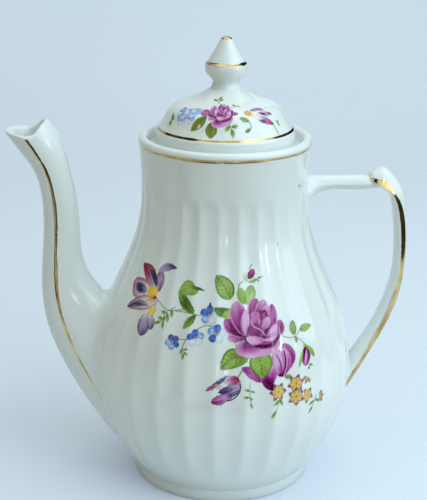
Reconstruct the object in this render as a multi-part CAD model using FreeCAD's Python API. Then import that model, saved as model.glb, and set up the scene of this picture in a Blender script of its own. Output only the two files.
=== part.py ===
import FreeCAD, Part
import math
import os

# Slip-cast porcelain coffee pot: fluted baluster body, swan-neck spout, loop handle,
# and a domed lid with a pointed knob. Millimetres, +Z up.
# The origin is the centre of the foot on the table. The spout points along -X.

# Body
FOOT_R = 44.9
FOOT_H = 6.0
FOOT_EDGE = 1.2
FOOT_RING_W = 4.4
FOOT_RECESS = 3.5
FLOOR_T = 4.5
WAIST_STEP = 0.5
BELLY_R = 64.3
BELLY_Z = 55.0
NECK_R = 40.6
NECK_DROP = 24.8
RIM_Z = 174.8
RIM_FLARE = 1.5
RIM_T = 4.8
RIM_STEP = 0.6
WALL = 4.2

# Flutes pressed into the body; they die out below the rim and above the foot
FLUTES = 28
FLUTE_DEPTH = 0.95
FLUTE_FULLNESS = 1.6
RIDGE_WIDTH = 0.6
FLUTE_DROP = 22.2
FLUTE_TOP_FADE = 6.0
FLUTE_RISE = 4.0
FLUTE_BOTTOM_FADE = 17.0

# Sunk ledge that carries the lid
LEDGE_DROP = 4.8
LEDGE_T = 4.0
LEDGE_SLOPE = 5.5

# Lid
BAND_GAP = 3.6
BAND_H = 8.5
CREASE = 1.0
SHOULDER_INSET = 7.8
SHOULDER_RISE = 10.0
CROWN_RISE = 8.9
LID_WALL = 3.4
LEDGE_REST = 3.1
FLANGE_T = 3.0
FLANGE_DEPTH = 12.0
FLANGE_CLEARANCE = 0.9
VENT_D = 3.6
VENT_R = 19.0

# Knob
KNOB_SEAT_R = 7.6
KNOB_NECK_R = 6.5
KNOB_NECK_H = 3.4
KNOB_R = 10.2
KNOB_H = 9.4
KNOB_BAND_R = 9.2
KNOB_BAND_H = 12.4
KNOB_TIP_R = 3.5
KNOB_TIP_H = 2.6
KNOB_HEIGHT = 24.6

# Strainer behind the spout
STRAINER_HOLE_D = 5.0
STRAINER_RING_R = 9.0
STRAINER_HOLES = 6
STRAINER_RISE = 3.0

# Spout
SPOUT_WALL = 2.8
SPOUT_RIDGE_AT = 0.38
SPOUT_RIDGE = 0.12

# Handle
HANDLE_DROP = 19.6
GUSSET_REACH = 8.4
BAR_REACH = 13.7
HANDLE_RIDGE = 0.25

# Sizes that follow from those above
FLOOR_Z = FOOT_RECESS + FLOOR_T
NECK_Z = RIM_Z - NECK_DROP
RIM_R = NECK_R + RIM_FLARE
RECESS_R = RIM_R - RIM_T
FLUTE_TOP = RIM_Z - FLUTE_DROP
FLUTE_BOTTOM = FOOT_H + FLUTE_RISE
LEDGE_Z = RIM_Z - LEDGE_DROP
BAND_R = RECESS_R - BAND_GAP
BAND_TOP = LEDGE_Z + BAND_H
FLANGE_R = BAND_R - LEDGE_REST
DOME_SHOULDER_R = BAND_R - SHOULDER_INSET
DOME_SHOULDER_Z = BAND_TOP + SHOULDER_RISE
KNOB_SEAT_Z = DOME_SHOULDER_Z + CROWN_RISE
POT_HEIGHT = KNOB_SEAT_Z + KNOB_HEIGHT
STRAINER_Z = BELLY_Z + STRAINER_RISE
HANDLE_Z = RIM_Z - HANDLE_DROP

# Share of a quarter curve's handle that makes it very nearly round
ROUND = 0.5523


def vec(x, y, z):
    return FreeCAD.Vector(x, y, z)


def mix(a, b, share):
    return a + (b - a) * share


def smooth_step(value):
    value = min(1.0, max(0.0, value))
    return value * value * (3.0 - 2.0 * value)


def spline_edge(points):
    curve = Part.BSplineCurve()
    curve.interpolate(Points=[vec(r, 0, z) for r, z in points])
    return curve.toShape()


def line_edges(points):
    corners = [vec(r, 0, z) for r, z in points]
    return [Part.LineSegment(a, b).toShape() for a, b in zip(corners, corners[1:])]


def arc_edge(start, middle, end):
    return Part.Arc(vec(start[0], 0, start[1]), vec(middle[0], 0, middle[1]), vec(end[0], 0, end[1])).toShape()


def revolve(edges):
    face = Part.Face(Part.Wire(Part.__sortEdges__(edges)))
    return face.revolve(vec(0, 0, 0), vec(0, 0, 1), 360.0)


# Outline of the body

def body_outline(inset):
    foot = FOOT_R - WAIST_STEP - inset
    belly = BELLY_R - inset
    neck = NECK_R - inset
    crease = RIM_R - RIM_STEP - inset
    low = FOOT_H
    return [
        (foot, low),
        (mix(foot, belly, 0.46), mix(low, BELLY_Z, 0.28)),
        (mix(foot, belly, 0.91), mix(low, BELLY_Z, 0.72)),
        (belly, BELLY_Z),
        (mix(neck, belly, 0.73), mix(BELLY_Z, NECK_Z, 0.37)),
        (mix(neck, belly, 0.30), mix(BELLY_Z, NECK_Z, 0.62)),
        (mix(neck, belly, 0.05), mix(BELLY_Z, NECK_Z, 0.82)),
        (neck, NECK_Z),
        (crease, rim_crease_z()),
    ]


def rim_roll_r():
    return (RIM_R - RECESS_R) / 2.0


def rim_crease_z():
    return RIM_Z - 1.6 * rim_roll_r()


# The depth is the one at the belly, and it shrinks with the wall where the flutes draw together
def flute_depth(radius, z):
    rise = smooth_step((z - FLUTE_BOTTOM) / FLUTE_BOTTOM_FADE)
    fall = smooth_step((FLUTE_TOP - z) / FLUTE_TOP_FADE)
    return FLUTE_DEPTH * radius / BELLY_R * rise * fall


def around(radius, angle, z):
    return vec(radius * math.cos(angle), radius * math.sin(angle), z)


def flute_edge(radius, z, middle):
    half = math.pi / FLUTES
    handle = 2.0 * half * radius / 5.0
    start = around(radius, middle - half, z)
    end = around(radius, middle + half, z)
    along_start = around(handle, middle - half + math.pi / 2.0, 0)
    along_end = around(handle, middle + half + math.pi / 2.0, 0)
    dip = around(-FLUTE_FULLNESS * flute_depth(radius, z), middle, 0)
    curve = Part.BezierCurve()
    curve.setPoles([
        start,
        start + along_start * RIDGE_WIDTH,
        start + along_start * 2.0 + dip,
        end - along_end * 2.0 + dip,
        end - along_end * RIDGE_WIDTH,
        end,
    ])
    return curve.toShape()


def fluted_section(radius, z):
    return Part.Wire([flute_edge(radius, z, 2.0 * math.pi * i / FLUTES) for i in range(FLUTES)])


# Shares of the way up the wall at which it is given a section, closer where the flutes die out
WALL_SHARES = [
    0.0, 0.04, 0.08, 0.12, 0.17, 0.23, 0.30, 0.38, 0.46, 0.54,
    0.62, 0.69, 0.75, 0.80, 0.84, 0.87, 0.895, 0.925, 0.96, 1.0,
]


def fluted_wall():
    outline = Part.BSplineCurve()
    outline.interpolate(Points=[vec(r, 0, z) for r, z in body_outline(0.0)])
    sections = []
    for share in WALL_SHARES:
        point = outline.value(mix(outline.FirstParameter, outline.LastParameter, share))
        sections.append(fluted_section(point.x, point.z))
    return Part.makeLoft(sections, True, False)


def foot():
    inner = FOOT_R - FOOT_EDGE - FOOT_RING_W
    bottom = FOOT_R - FOOT_EDGE
    round_mid = FOOT_EDGE * (1.0 - math.sqrt(0.5))
    edges = line_edges([
        (FOOT_R, FOOT_EDGE),
        (FOOT_R, FOOT_H - WAIST_STEP),
        (FOOT_R - WAIST_STEP / 2.0, FOOT_H),
        (0, FOOT_H),
        (0, FOOT_RECESS),
        (inner - FOOT_EDGE, FOOT_RECESS),
        (inner, 0),
        (bottom, 0),
    ])
    edges.append(arc_edge((bottom, 0), (FOOT_R - round_mid, round_mid), (FOOT_R, FOOT_EDGE)))
    return revolve(edges)


def rim():
    roll = rim_roll_r()
    centre_r = RIM_R - roll
    centre_z = RIM_Z - roll
    crease = (RIM_R - RIM_STEP / 2.0, rim_crease_z())
    edges = line_edges([
        (RECESS_R, centre_z),
        (RECESS_R, LEDGE_Z - LEDGE_T),
        (NECK_R - WALL / 2.0, LEDGE_Z - LEDGE_T),
        (NECK_R - WALL / 2.0, rim_crease_z()),
        crease,
        (RIM_R, centre_z),
    ])
    edges.append(arc_edge((RIM_R, centre_z), (centre_r, RIM_Z), (RECESS_R, centre_z)))
    return revolve(edges)


def body_outside():
    return foot().fuse([fluted_wall(), rim()]).removeSplitter()


def ledge_bore_r():
    return FLANGE_R + FLANGE_CLEARANCE


def cavity():
    wall = body_outline(WALL)
    bore = ledge_bore_r()
    neck = (wall[-2][0], LEDGE_Z - LEDGE_T - LEDGE_SLOPE)
    floor_edge = (0.7 * FOOT_R, FLOOR_Z)
    side = [floor_edge, (mix(floor_edge[0], wall[1][0], 0.72), mix(FLOOR_Z, wall[1][1], 0.3))]
    side += wall[1:-1] + [neck]
    edges = [spline_edge(side)]
    edges += line_edges([
        neck,
        (bore, LEDGE_Z - LEDGE_T),
        (bore, LEDGE_Z),
        (RECESS_R, LEDGE_Z),
        (RECESS_R, RIM_Z),
        (0, RIM_Z),
        (0, FLOOR_Z),
        floor_edge,
    ])
    return revolve(edges)


def strainer_holes():
    centres = [(0.0, STRAINER_Z)]
    for i in range(STRAINER_HOLES):
        angle = 2.0 * math.pi * i / STRAINER_HOLES
        centres.append((STRAINER_RING_R * math.cos(angle), STRAINER_Z + STRAINER_RING_R * math.sin(angle)))
    start = -(BELLY_R + WALL)
    length = 3.0 * WALL
    return [Part.makeCylinder(STRAINER_HOLE_D / 2.0, length, vec(start, y, z), vec(1, 0, 0)) for y, z in centres]


def pot_body(outside):
    return outside.cut(cavity()).cut(strainer_holes())


# Spout and handle: lofts through closed sections with a soft ridge down each side

def ridged_section(centre, front, front_depth, back_depth, half_width, ridge):
    side = vec(0, half_width, 0)
    tip = centre + front * front_depth
    tail = centre - front * back_depth
    lean = side * (1.0 - ridge)
    corners = [
        [centre + side, centre + lean + front * (ROUND * front_depth), tip + side * ROUND, tip],
        [tip, tip - side * ROUND, centre - lean + front * (ROUND * front_depth), centre - side],
        [centre - side, centre - side - front * (ROUND * back_depth), tail - side * ROUND, tail],
        [tail, tail + side * ROUND, centre + side - front * (ROUND * back_depth), centre + side],
    ]
    edges = []
    for poles in corners:
        curve = Part.BezierCurve()
        curve.setPoles(poles)
        edges.append(curve.toShape())
    return Part.Wire(edges)


# Spout and handle stand beside the belly: a share of 0 is level with it, 1 with the given top, -1 with the foot
def level(share, top):
    if share < 0.0:
        return BELLY_Z + share * (BELLY_Z - FOOT_H)
    return BELLY_Z + share * (top - BELLY_Z)


def beside_spout(out, share):
    return (-(BELLY_R + out), level(share, RIM_Z))


# Each row: low and high point of the section in the middle plane, and its half width.
# A point is its distance out from the belly and its level.
def spout_rows():
    rows = [
        ((-19.3, -0.918), (-19.3, 0.326), 31.0),
        ((-9.3, -0.745), (-6.8, 0.328), 22.5),
        ((3.7, -0.388), (-2.8, 0.353), 15.8),
        ((15.5, 0.017), (1.2, 0.399), 12.6),
        ((23.5, 0.189), (4.3, 0.455), 10.6),
        ((25.9, 0.359), (6.1, 0.534), 9.4),
        ((24.7, 0.543), (6.7, 0.659), 8.8),
        ((24.4, 0.718), (8.3, 0.772), 9.2),
        ((28.3, 0.856), (11.4, 0.893), 10.3),
        ((35.0, 0.939), (15.3, 0.993), 11.9),
        ((44.0, 1.049), (21.9, 1.070), 13.5),
    ]
    return [(beside_spout(*low), beside_spout(*high), half) for low, high, half in rows]


def spout_loft(inset):
    sections = []
    for low, high, half_width in spout_rows():
        a = vec(low[0], 0, low[1])
        b = vec(high[0], 0, high[1])
        front = (a - b).normalize()
        length = (a - b).Length
        centre = a - front * (length * SPOUT_RIDGE_AT)
        front_depth = length * SPOUT_RIDGE_AT - inset
        back_depth = length * (1.0 - SPOUT_RIDGE_AT) - inset
        sections.append(ridged_section(centre, front, front_depth, back_depth, half_width - inset, SPOUT_RIDGE))
    return Part.makeLoft(sections, True, False)


# The beak mouth is cut along its lip: level at the sides, then steeply up to a horn at the back
LIP_REACH = 30.0


def lip_points():
    points = [
        (44.7, 1.0284), (38.4, 1.0184), (33.2, 1.0142), (29.6, 1.0117), (27.1, 1.0184),
        (25.2, 1.0351), (23.2, 1.0534), (21.1, 1.0618), (17.7, 1.0634),
    ]
    return [beside_spout(*point) for point in points]


def mouth_cutter():
    lip = lip_points()
    top = lip[-1][1] + LIP_REACH
    edges = [spline_edge(lip)]
    edges += line_edges([lip[-1], (lip[-1][0], top), (lip[0][0], top), lip[0]])
    face = Part.Face(Part.Wire(Part.__sortEdges__(edges)))
    face.translate(vec(0, -LIP_REACH, 0))
    return face.extrude(vec(0, 2.0 * LIP_REACH, 0))


def spout(outside):
    return spout_loft(0.0).cut(outside).cut([spout_loft(SPOUT_WALL), mouth_cutter()])


# Each row of the bar: place along X, rise of its top over the handle's level, depth and half width.
# The gusset is measured out from the neck, and the rest is a share of the way on to the strap.
def bar_rows():
    rows = []
    for out, rise, depth, half_width in [
        (-4.6, 0.0, 19.4, 11.0),
        (0.4, -0.7, 14.0, 7.4),
        (3.9, -0.9, 10.0, 5.6),
        (GUSSET_REACH, -1.0, 7.5, 4.8),
    ]:
        rows.append((NECK_R + out, rise, depth, half_width))
    for share, rise, depth, half_width in [
        (0.38, -0.9, 7.1, 4.7),
        (0.72, -0.9, 6.8, 5.2),
        (1.0, -1.3, 5.4, 5.0),
    ]:
        rows.append((mix(NECK_R + GUSSET_REACH, BELLY_R + BAR_REACH, share), rise, depth, half_width))
    return rows


def handle_bar():
    sections = []
    for x, rise, depth, half_width in bar_rows():
        half = depth / 2.0
        centre = vec(x, 0, HANDLE_Z + rise - half)
        sections.append(ridged_section(centre, vec(0, 0, 1), half, half, half_width, HANDLE_RIDGE))
    return Part.makeLoft(sections, True, False)


# Each row of the strap: distance out from the belly, level, direction it faces in degrees,
# outer and inner depth, half width
def strap_rows():
    return [
        (6.2, 0.984, 110.0, 0.8, 0.8, 2.6),
        (7.9, 0.974, 100.0, 3.6, 1.4, 5.6),
        (10.5, 0.957, 88.0, 7.1, 1.6, 7.0),
        (12.7, 0.947, 62.0, 7.9, 1.2, 7.2),
        (15.9, 0.927, 42.0, 6.3, 1.4, 6.9),
        (19.0, 0.886, 22.0, 5.3, 1.7, 6.5),
        (21.6, 0.788, 6.0, 4.2, 2.4, 6.2),
        (22.9, 0.649, -2.0, 3.8, 2.4, 6.0),
        (22.9, 0.509, -9.0, 3.3, 2.7, 5.9),
        (20.6, 0.374, -17.5, 3.5, 3.3, 5.8),
        (15.7, 0.240, -22.0, 3.6, 3.7, 5.8),
        (9.0, 0.110, -26.0, 3.7, 4.2, 6.2),
        (1.9, -0.031, -28.0, 3.9, 5.2, 6.8),
        (-6.3, -0.306, -30.0, 4.2, 7.0, 7.0),
        (-16.3, -0.633, -32.0, 4.4, 8.0, 7.0),
    ]


def handle_strap():
    sections = []
    for out, share, facing, outer, inner, half_width in strap_rows():
        angle = math.radians(facing)
        front = vec(math.cos(angle), 0, math.sin(angle))
        centre = vec(BELLY_R + out, 0, level(share, HANDLE_Z))
        sections.append(ridged_section(centre, front, outer, inner, half_width, HANDLE_RIDGE))
    return Part.makeLoft(sections, True, False)


def handle(outside):
    return handle_strap().fuse(handle_bar()).cut(outside)


# Lid and knob

def dome_outline(inset):
    base = BAND_R - CREASE - inset
    shoulder = DOME_SHOULDER_R - inset
    low = BAND_TOP
    return [
        (base, low),
        (mix(base, shoulder, 0.44), mix(low, DOME_SHOULDER_Z, 0.45)),
        (mix(base, shoulder, 0.68), mix(low, DOME_SHOULDER_Z, 0.75)),
        (shoulder, DOME_SHOULDER_Z),
        (mix(shoulder, KNOB_SEAT_R, 0.52), mix(DOME_SHOULDER_Z, KNOB_SEAT_Z, 0.46)),
        (KNOB_SEAT_R, KNOB_SEAT_Z),
    ]


def lid():
    outer = dome_outline(0.0)
    seat_r = FLANGE_R - FLANGE_T
    under = KNOB_SEAT_Z - 1.6 * LID_WALL
    inner = [
        (seat_r, LEDGE_Z),
        (mix(seat_r, DOME_SHOULDER_R - LID_WALL, 0.5), mix(LEDGE_Z, DOME_SHOULDER_Z - LID_WALL, 0.6)),
        (DOME_SHOULDER_R - 1.6 * LID_WALL, DOME_SHOULDER_Z - LID_WALL),
        (KNOB_SEAT_R, under),
    ]
    edges = [spline_edge(outer), spline_edge(inner)]
    edges += line_edges([
        outer[0],
        (BAND_R, BAND_TOP - CREASE),
        (BAND_R, LEDGE_Z),
        (FLANGE_R, LEDGE_Z),
        (FLANGE_R, LEDGE_Z - FLANGE_DEPTH),
        (seat_r, LEDGE_Z - FLANGE_DEPTH),
        inner[0],
    ])
    edges += line_edges([inner[-1], (0, under), (0, KNOB_SEAT_Z), outer[-1]])
    vent = Part.makeCylinder(VENT_D / 2.0, POT_HEIGHT - LEDGE_Z, vec(0, VENT_R, LEDGE_Z))
    return revolve(edges).cut(vent)


def lid_finial():
    base = KNOB_SEAT_Z
    band = (KNOB_BAND_R, base + KNOB_BAND_H)
    tip_z = POT_HEIGHT - KNOB_TIP_H
    stem = [
        (KNOB_SEAT_R, base),
        (KNOB_NECK_R, base + KNOB_NECK_H),
        (mix(KNOB_NECK_R, KNOB_R, 0.68), mix(base + KNOB_NECK_H, base + KNOB_H, 0.5)),
        (KNOB_R, base + KNOB_H),
        (KNOB_R - 0.2, base + KNOB_BAND_H - 0.6),
    ]
    cone = [
        band,
        (mix(KNOB_BAND_R, KNOB_TIP_R, 0.38), mix(band[1], tip_z, 0.38)),
        (KNOB_TIP_R, tip_z),
    ]
    edges = [spline_edge(stem), spline_edge(cone)]
    edges += line_edges([stem[-1], band])
    ball = (KNOB_TIP_R ** 2 + KNOB_TIP_H ** 2) / (2.0 * KNOB_TIP_H)
    half_turn = math.asin(KNOB_TIP_R / ball) / 2.0
    crown = (ball * math.sin(half_turn), POT_HEIGHT - ball * (1.0 - math.cos(half_turn)))
    edges.append(arc_edge((KNOB_TIP_R, tip_z), crown, (0, POT_HEIGHT)))
    edges += line_edges([(0, POT_HEIGHT), (0, base), stem[0]])
    return revolve(edges)


def build():
    outside = body_outside()
    return {
        "pot_body": pot_body(outside),
        "spout": spout(outside),
        "handle": handle(outside),
        "lid": lid(),
        "lid_finial": lid_finial(),
    }


os.makedirs("parts", exist_ok=True)
for name, shape in build().items():
    shape.exportStep("parts/" + name + ".step")
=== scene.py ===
# %% [markdown]
# # A fluted porcelain coffee pot
# The pot is slip-cast porcelain under a clear glaze: a fluted body, a swan-neck spout, a loop
# handle, and a loose domed lid with a pointed knob. Gold lines and a spray of flowers finish it.
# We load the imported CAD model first. It fixes every size, so each piece made here goes where
# the CAD says. A thick glaze softens every edge, which the CAD solids don't show, so the clay
# pieces are modelled again with clean faces and rounded edges.

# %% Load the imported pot
import math

import bpy
import numpy as np
from mathutils import Matrix, Vector


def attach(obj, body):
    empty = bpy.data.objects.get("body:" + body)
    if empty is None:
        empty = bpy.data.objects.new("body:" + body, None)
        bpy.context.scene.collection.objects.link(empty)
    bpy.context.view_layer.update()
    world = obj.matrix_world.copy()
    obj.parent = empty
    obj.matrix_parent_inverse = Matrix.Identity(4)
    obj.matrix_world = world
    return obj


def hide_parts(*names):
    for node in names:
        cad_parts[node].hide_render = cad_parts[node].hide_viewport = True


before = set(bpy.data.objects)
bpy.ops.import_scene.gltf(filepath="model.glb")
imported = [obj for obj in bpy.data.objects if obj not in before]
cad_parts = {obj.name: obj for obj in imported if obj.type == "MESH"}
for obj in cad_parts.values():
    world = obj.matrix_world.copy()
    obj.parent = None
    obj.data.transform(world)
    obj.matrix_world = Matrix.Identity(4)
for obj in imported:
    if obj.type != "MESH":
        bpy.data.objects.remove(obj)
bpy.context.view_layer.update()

MM = 0.001
FINE = 400  # places on a line that is read closely
print("CAD nodes:", sorted(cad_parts))

# %% [markdown]
# ## Tools for the clay
# A caster draws an outline once and turns it. We need the same: a smooth line through a few
# points, a corner softened as glaze softens it, and a sheet of faces that is rolled into a tube.
# A spline could come from a curve object, but a short function gives points at any place.


# %% Smooth line through a few points
def run_length(line):
    """How far along a line each of its points lies."""
    return np.concatenate([[0.0], np.cumsum(np.linalg.norm(np.diff(line, axis=0), axis=1))])


def smooth_line(points, places):
    """A natural cubic spline through points, read at places from 0 to 1, or at so many."""
    if isinstance(places, int):
        places = np.linspace(0.0, 1.0, places)
    p = np.array(points, float)
    s = run_length(p)
    s /= s[-1]
    h = np.diff(s)
    count = len(p)
    left = np.eye(count)
    right = np.zeros_like(p)
    for i in range(1, count - 1):
        left[i, i - 1:i + 2] = h[i - 1], 2.0 * (h[i - 1] + h[i]), h[i]
        right[i] = 6.0 * ((p[i + 1] - p[i]) / h[i] - (p[i] - p[i - 1]) / h[i - 1])
    bend = np.linalg.solve(left, right)
    places = np.asarray(places, float)
    k = np.clip(np.searchsorted(s, places, side="right") - 1, 0, count - 2)
    t = (places - s[k])[..., None]
    width = h[k][..., None]
    rise = (p[k + 1] - p[k]) / width - width * (2.0 * bend[k] + bend[k + 1]) / 6.0
    turn = (bend[k + 1] - bend[k]) / (6.0 * width)
    return p[k] + rise * t + bend[k] / 2.0 * t**2 + turn * t**3


def mix(a, b, share):
    return a + (b - a) * share


def bent(a, b, c, t):
    """A place on the curve that leaves a towards b and then runs into c."""
    return (1 - t) ** 2 * a + 2 * t * (1 - t) * b + t**2 * c


def soft_step(value):
    value = np.clip(value, 0.0, 1.0)
    return value * value * (3.0 - 2.0 * value)


def about_axis(r, turn, z):
    """Points at a distance r from the pot's axis, turned round it, at a height z."""
    return np.stack([r * np.cos(turn), r * np.sin(turn), z], axis=-1)


# %% Softened corners of an outline
def softened(corners, steps=4):
    """Corners are (r, z, softness): each is cut back by its softness and rounded."""
    line = []
    for i, (r, z, soft) in enumerate(corners):
        here = np.array((r, z), float)
        if soft <= 0.0 or i in (0, len(corners) - 1):
            line.append(here)
            continue
        before = np.array(corners[i - 1][:2], float) - here
        after = np.array(corners[i + 1][:2], float) - here
        start = here + before * min(0.5, soft / np.linalg.norm(before))
        end = here + after * min(0.5, soft / np.linalg.norm(after))
        line += [bent(start, here, end, t) for t in np.linspace(0.0, 1.0, steps + 1)]
    return np.array(line)


# %% Picking and shaping a piece
def pick(piece):
    bpy.ops.object.select_all(action="DESELECT")
    piece.select_set(True)
    bpy.context.view_layer.objects.active = piece


def in_edit_mode(piece, *steps):
    pick(piece)
    bpy.ops.object.mode_set(mode="EDIT")
    bpy.ops.mesh.select_all(action="SELECT")
    for step in steps:
        step()
    bpy.ops.object.mode_set(mode="OBJECT")
    return piece


def select_only(piece, kind, chosen):
    """Leaves only the chosen edges or polygons selected, for the next step in edit mode."""
    bpy.ops.mesh.select_all(action="DESELECT")
    bpy.ops.object.mode_set(mode="OBJECT")
    getattr(piece.data, kind).foreach_set("select", chosen)
    bpy.ops.object.mode_set(mode="EDIT")


def weld():
    bpy.ops.mesh.remove_doubles(threshold=2e-6)
    bpy.ops.mesh.normals_make_consistent(inside=False)


def place_points(piece, points):
    piece.data.vertices.foreach_set("co", (np.asarray(points, float) * MM).ravel())
    piece.data.update()


def read_points(piece):
    flat = np.zeros(len(piece.data.vertices) * 3)
    piece.data.vertices.foreach_get("co", flat)
    return flat.reshape(-1, 3) / MM


def smooth_faces(piece, degrees):
    pick(piece)
    bpy.ops.object.shade_smooth_by_angle(angle=math.radians(degrees))


def apply_modifier(piece, kind, **settings):
    modifier = piece.modifiers.new(kind.title(), kind)
    for key, value in settings.items():
        setattr(modifier, key, value)
    pick(piece)
    bpy.ops.object.modifier_apply(modifier=modifier.name)


def combine(piece, other, operation):
    """A Boolean between two pieces that uses the other one up."""
    apply_modifier(piece, "BOOLEAN", operation=operation, solver="EXACT", object=other)
    bpy.data.objects.remove(other)


# %% Sheets of clay and turned pieces
def named(name):
    """The piece that was just added, under its name."""
    piece = bpy.context.active_object
    piece.name = piece.data.name = name
    return piece


def clay_sheet(name, points):
    """A grid primitive laid through points[row, column] and welded where it meets itself."""
    rows, columns = points.shape[:2]
    bpy.ops.mesh.primitive_grid_add(
        x_subdivisions=columns - 1, y_subdivisions=rows - 1, size=1.0)
    piece = named(name)
    place_points(piece, points.reshape(-1, 3))
    return in_edit_mode(piece, weld)


def turned(name, outline, steps):
    """An outline from axis to axis, made from an opened circle and spun about the pot's axis."""
    count = len(outline)
    bpy.ops.mesh.primitive_circle_add(vertices=count, radius=1.0, fill_type="NOTHING")
    piece = named(name)
    place_points(piece, [(r, 0.0, z) for r, z in outline])
    on_axis = [set(edge.vertices) == {0, count - 1} for edge in piece.data.edges]

    def open_at_axis():
        select_only(piece, "edges", on_axis)
        bpy.ops.mesh.select_mode(type="EDGE")
        bpy.ops.mesh.delete(type="EDGE")
        bpy.ops.mesh.select_mode(type="VERT")
        bpy.ops.mesh.select_all(action="SELECT")

    def spin():
        bpy.ops.mesh.spin(steps=steps, angle=2.0 * math.pi, center=(0, 0, 0), axis=(0, 0, 1))
        bpy.ops.mesh.select_all(action="SELECT")

    in_edit_mode(piece, open_at_axis, spin, weld)
    print(name, len(piece.data.vertices), "points,", len(piece.data.polygons), "faces")
    return piece


# %% [markdown]
# ## The glaze
# Porcelain glaze is clear glass over white clay. It isn't one flat white: it pools a little
# greener, it ripples like very calm water, and tiny pits and iron specks stay in it. Noise and
# Voronoi cells in Object coordinates give all three, so the pattern stays on the pot as it
# moves. Two larger pits are listed.


# %% Nodes of a material
def feed(made, inputs):
    """Links each input of a node that is given a socket, and sets the others."""
    for key, value in inputs.items():
        if isinstance(value, bpy.types.NodeSocket):
            made.id_data.links.new(value, made.inputs[key])
        else:
            made.inputs[key].default_value = value


def node(tree, kind, inputs=None, **settings):
    made = tree.nodes.new("ShaderNode" + kind)
    for key, value in settings.items():
        setattr(made, key, value)
    feed(made, inputs or {})
    return made


def object_place(tree):
    return node(tree, "TexCoord").outputs["Object"]


def noise(place, scale, detail, **more):
    inputs = {"Vector": place, "Scale": scale, "Detail": detail, **more}
    return node(place.id_data, "TexNoise", inputs).outputs["Fac"]


def maths(operation, a, b, **settings):
    return node(a.id_data, "Math", {0: a, 1: b}, operation=operation, **settings).outputs[0]


def between(value, **ends):
    """A value moved from one range to another; ends as from_min, from_max, to_min, to_max."""
    inputs = {key.replace("_", " ").title(): end for key, end in ends.items()}
    return node(value.id_data, "MapRange", {"Value": value, **inputs}).outputs["Result"]


def blend(share, first, second):
    inputs = {0: share, 6: first, 7: second}
    return node(share.id_data, "Mix", inputs, data_type="RGBA").outputs[2]


def ramp(value, *stops):
    made = node(value.id_data, "ValToRGB", {"Fac": value})
    elements = made.color_ramp.elements
    while len(elements) < len(stops):
        elements.new(0.5)
    for element, (place, colour) in zip(elements, stops):
        element.position = place
        element.color = (*colour, 1.0)
    return made.outputs["Color"]


def new_material(name):
    material = bpy.data.materials.new(name)
    material.use_nodes = True
    return material, material.node_tree, material.node_tree.nodes["Principled BSDF"]


# %% Glaze material
GLAZE_LIGHT = (0.802, 0.840, 0.842)
GLAZE_POOLED = (0.760, 0.804, 0.796)
# the grey mixed into the glaze near the bottom of the foot is painted shade from under the belly,
# with a little dust
FOOT_SHADE_AND_DUST, FOOT_SHADE, FOOT_SHADE_Z = (0.47, 0.48, 0.44, 1.0), 0.5, 0.015
GLAZE_IOR = 1.52
SPECK = (0.30, 0.25, 0.18, 1.0)
PITS = (((0.0338, -0.0226, 0.1550), 0.0011), ((0.0230, -0.0354, 0.1300), 0.0007))
BLACK, WHITE = (0, 0, 0), (1, 1, 1)


def glaze_nodes(shader):
    """Colour, gloss and ripple of the glaze; gives back the colour for a print to lie in."""
    tree = shader.id_data
    place = object_place(tree)
    pools = noise(place, scale=22.0, detail=2.0)
    colour = ramp(pools, (0.35, GLAZE_LIGHT), (0.72, GLAZE_POOLED))
    cells = node(tree, "TexVoronoi", {"Vector": place, "Scale": 90.0, "Randomness": 1.0})
    dots = ramp(cells.outputs["Distance"], (0.028, WHITE), (0.045, BLACK))
    few = noise(place, scale=31.0, detail=0.0)
    marks = maths("MULTIPLY", dots, ramp(few, (0.60, BLACK), (0.64, WHITE)))
    for point, reach in PITS:
        away = node(tree, "VectorMath", {0: place, 1: point}, operation="DISTANCE")
        pit = between(away.outputs["Value"], from_min=reach, from_max=reach / 3)
        marks = maths("MAXIMUM", marks, pit)
    height = node(tree, "SeparateXYZ", {0: place}).outputs["Z"]
    # the glaze turns grey towards the bottom of the foot: painted shade, with a little dust
    foot = between(height, from_min=FOOT_SHADE_Z, from_max=0.0, to_max=FOOT_SHADE)
    waves = noise(place, scale=75.0, detail=1.0)
    ripple = node(tree, "Bump", {"Strength": 0.35, "Distance": 0.0006, "Height": waves})
    pitted = node(tree, "Bump", {
        "Strength": 0.5, "Distance": 0.0002, "Height": marks,
        "Normal": ripple.outputs["Normal"]}, invert=True)
    feed(shader, {
        "Roughness": between(few, to_min=0.05, to_max=0.13),
        "Normal": pitted.outputs["Normal"], "IOR": GLAZE_IOR})
    return blend(foot, blend(marks, colour, SPECK), FOOT_SHADE_AND_DUST)


glaze, _, glaze_shader = new_material("clear_glaze_on_porcelain")
feed(glaze_shader, {"Base Color": glaze_nodes(glaze_shader)})


def dress(piece, body, slot, material, *replaced, degrees=60):
    """Smooths a finished piece, gives it a material and a CAD body, and hides the CAD nodes it
    replaces; the slot is not used.
    """
    smooth_faces(piece, degrees)
    piece.data.materials.clear()
    piece.data.materials.append(material)
    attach(piece, body)
    if replaced:
        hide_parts(*replaced)
    print(piece.name, "rides on", body, "with", len(piece.data.polygons), "faces")


for cad_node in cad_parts.values():
    cad_node.data.materials.clear()
    cad_node.data.materials.append(glaze)

# %% [markdown]
# ## The body
# The real body is cast in a plaster mould whose flutes die out under the neck and above the
# foot. Twenty-eight cut grooves would leave hard ends, so the body is turned from one outline,
# outside and inside, and its outer points are then pressed in by a depth that fades away.

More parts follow.
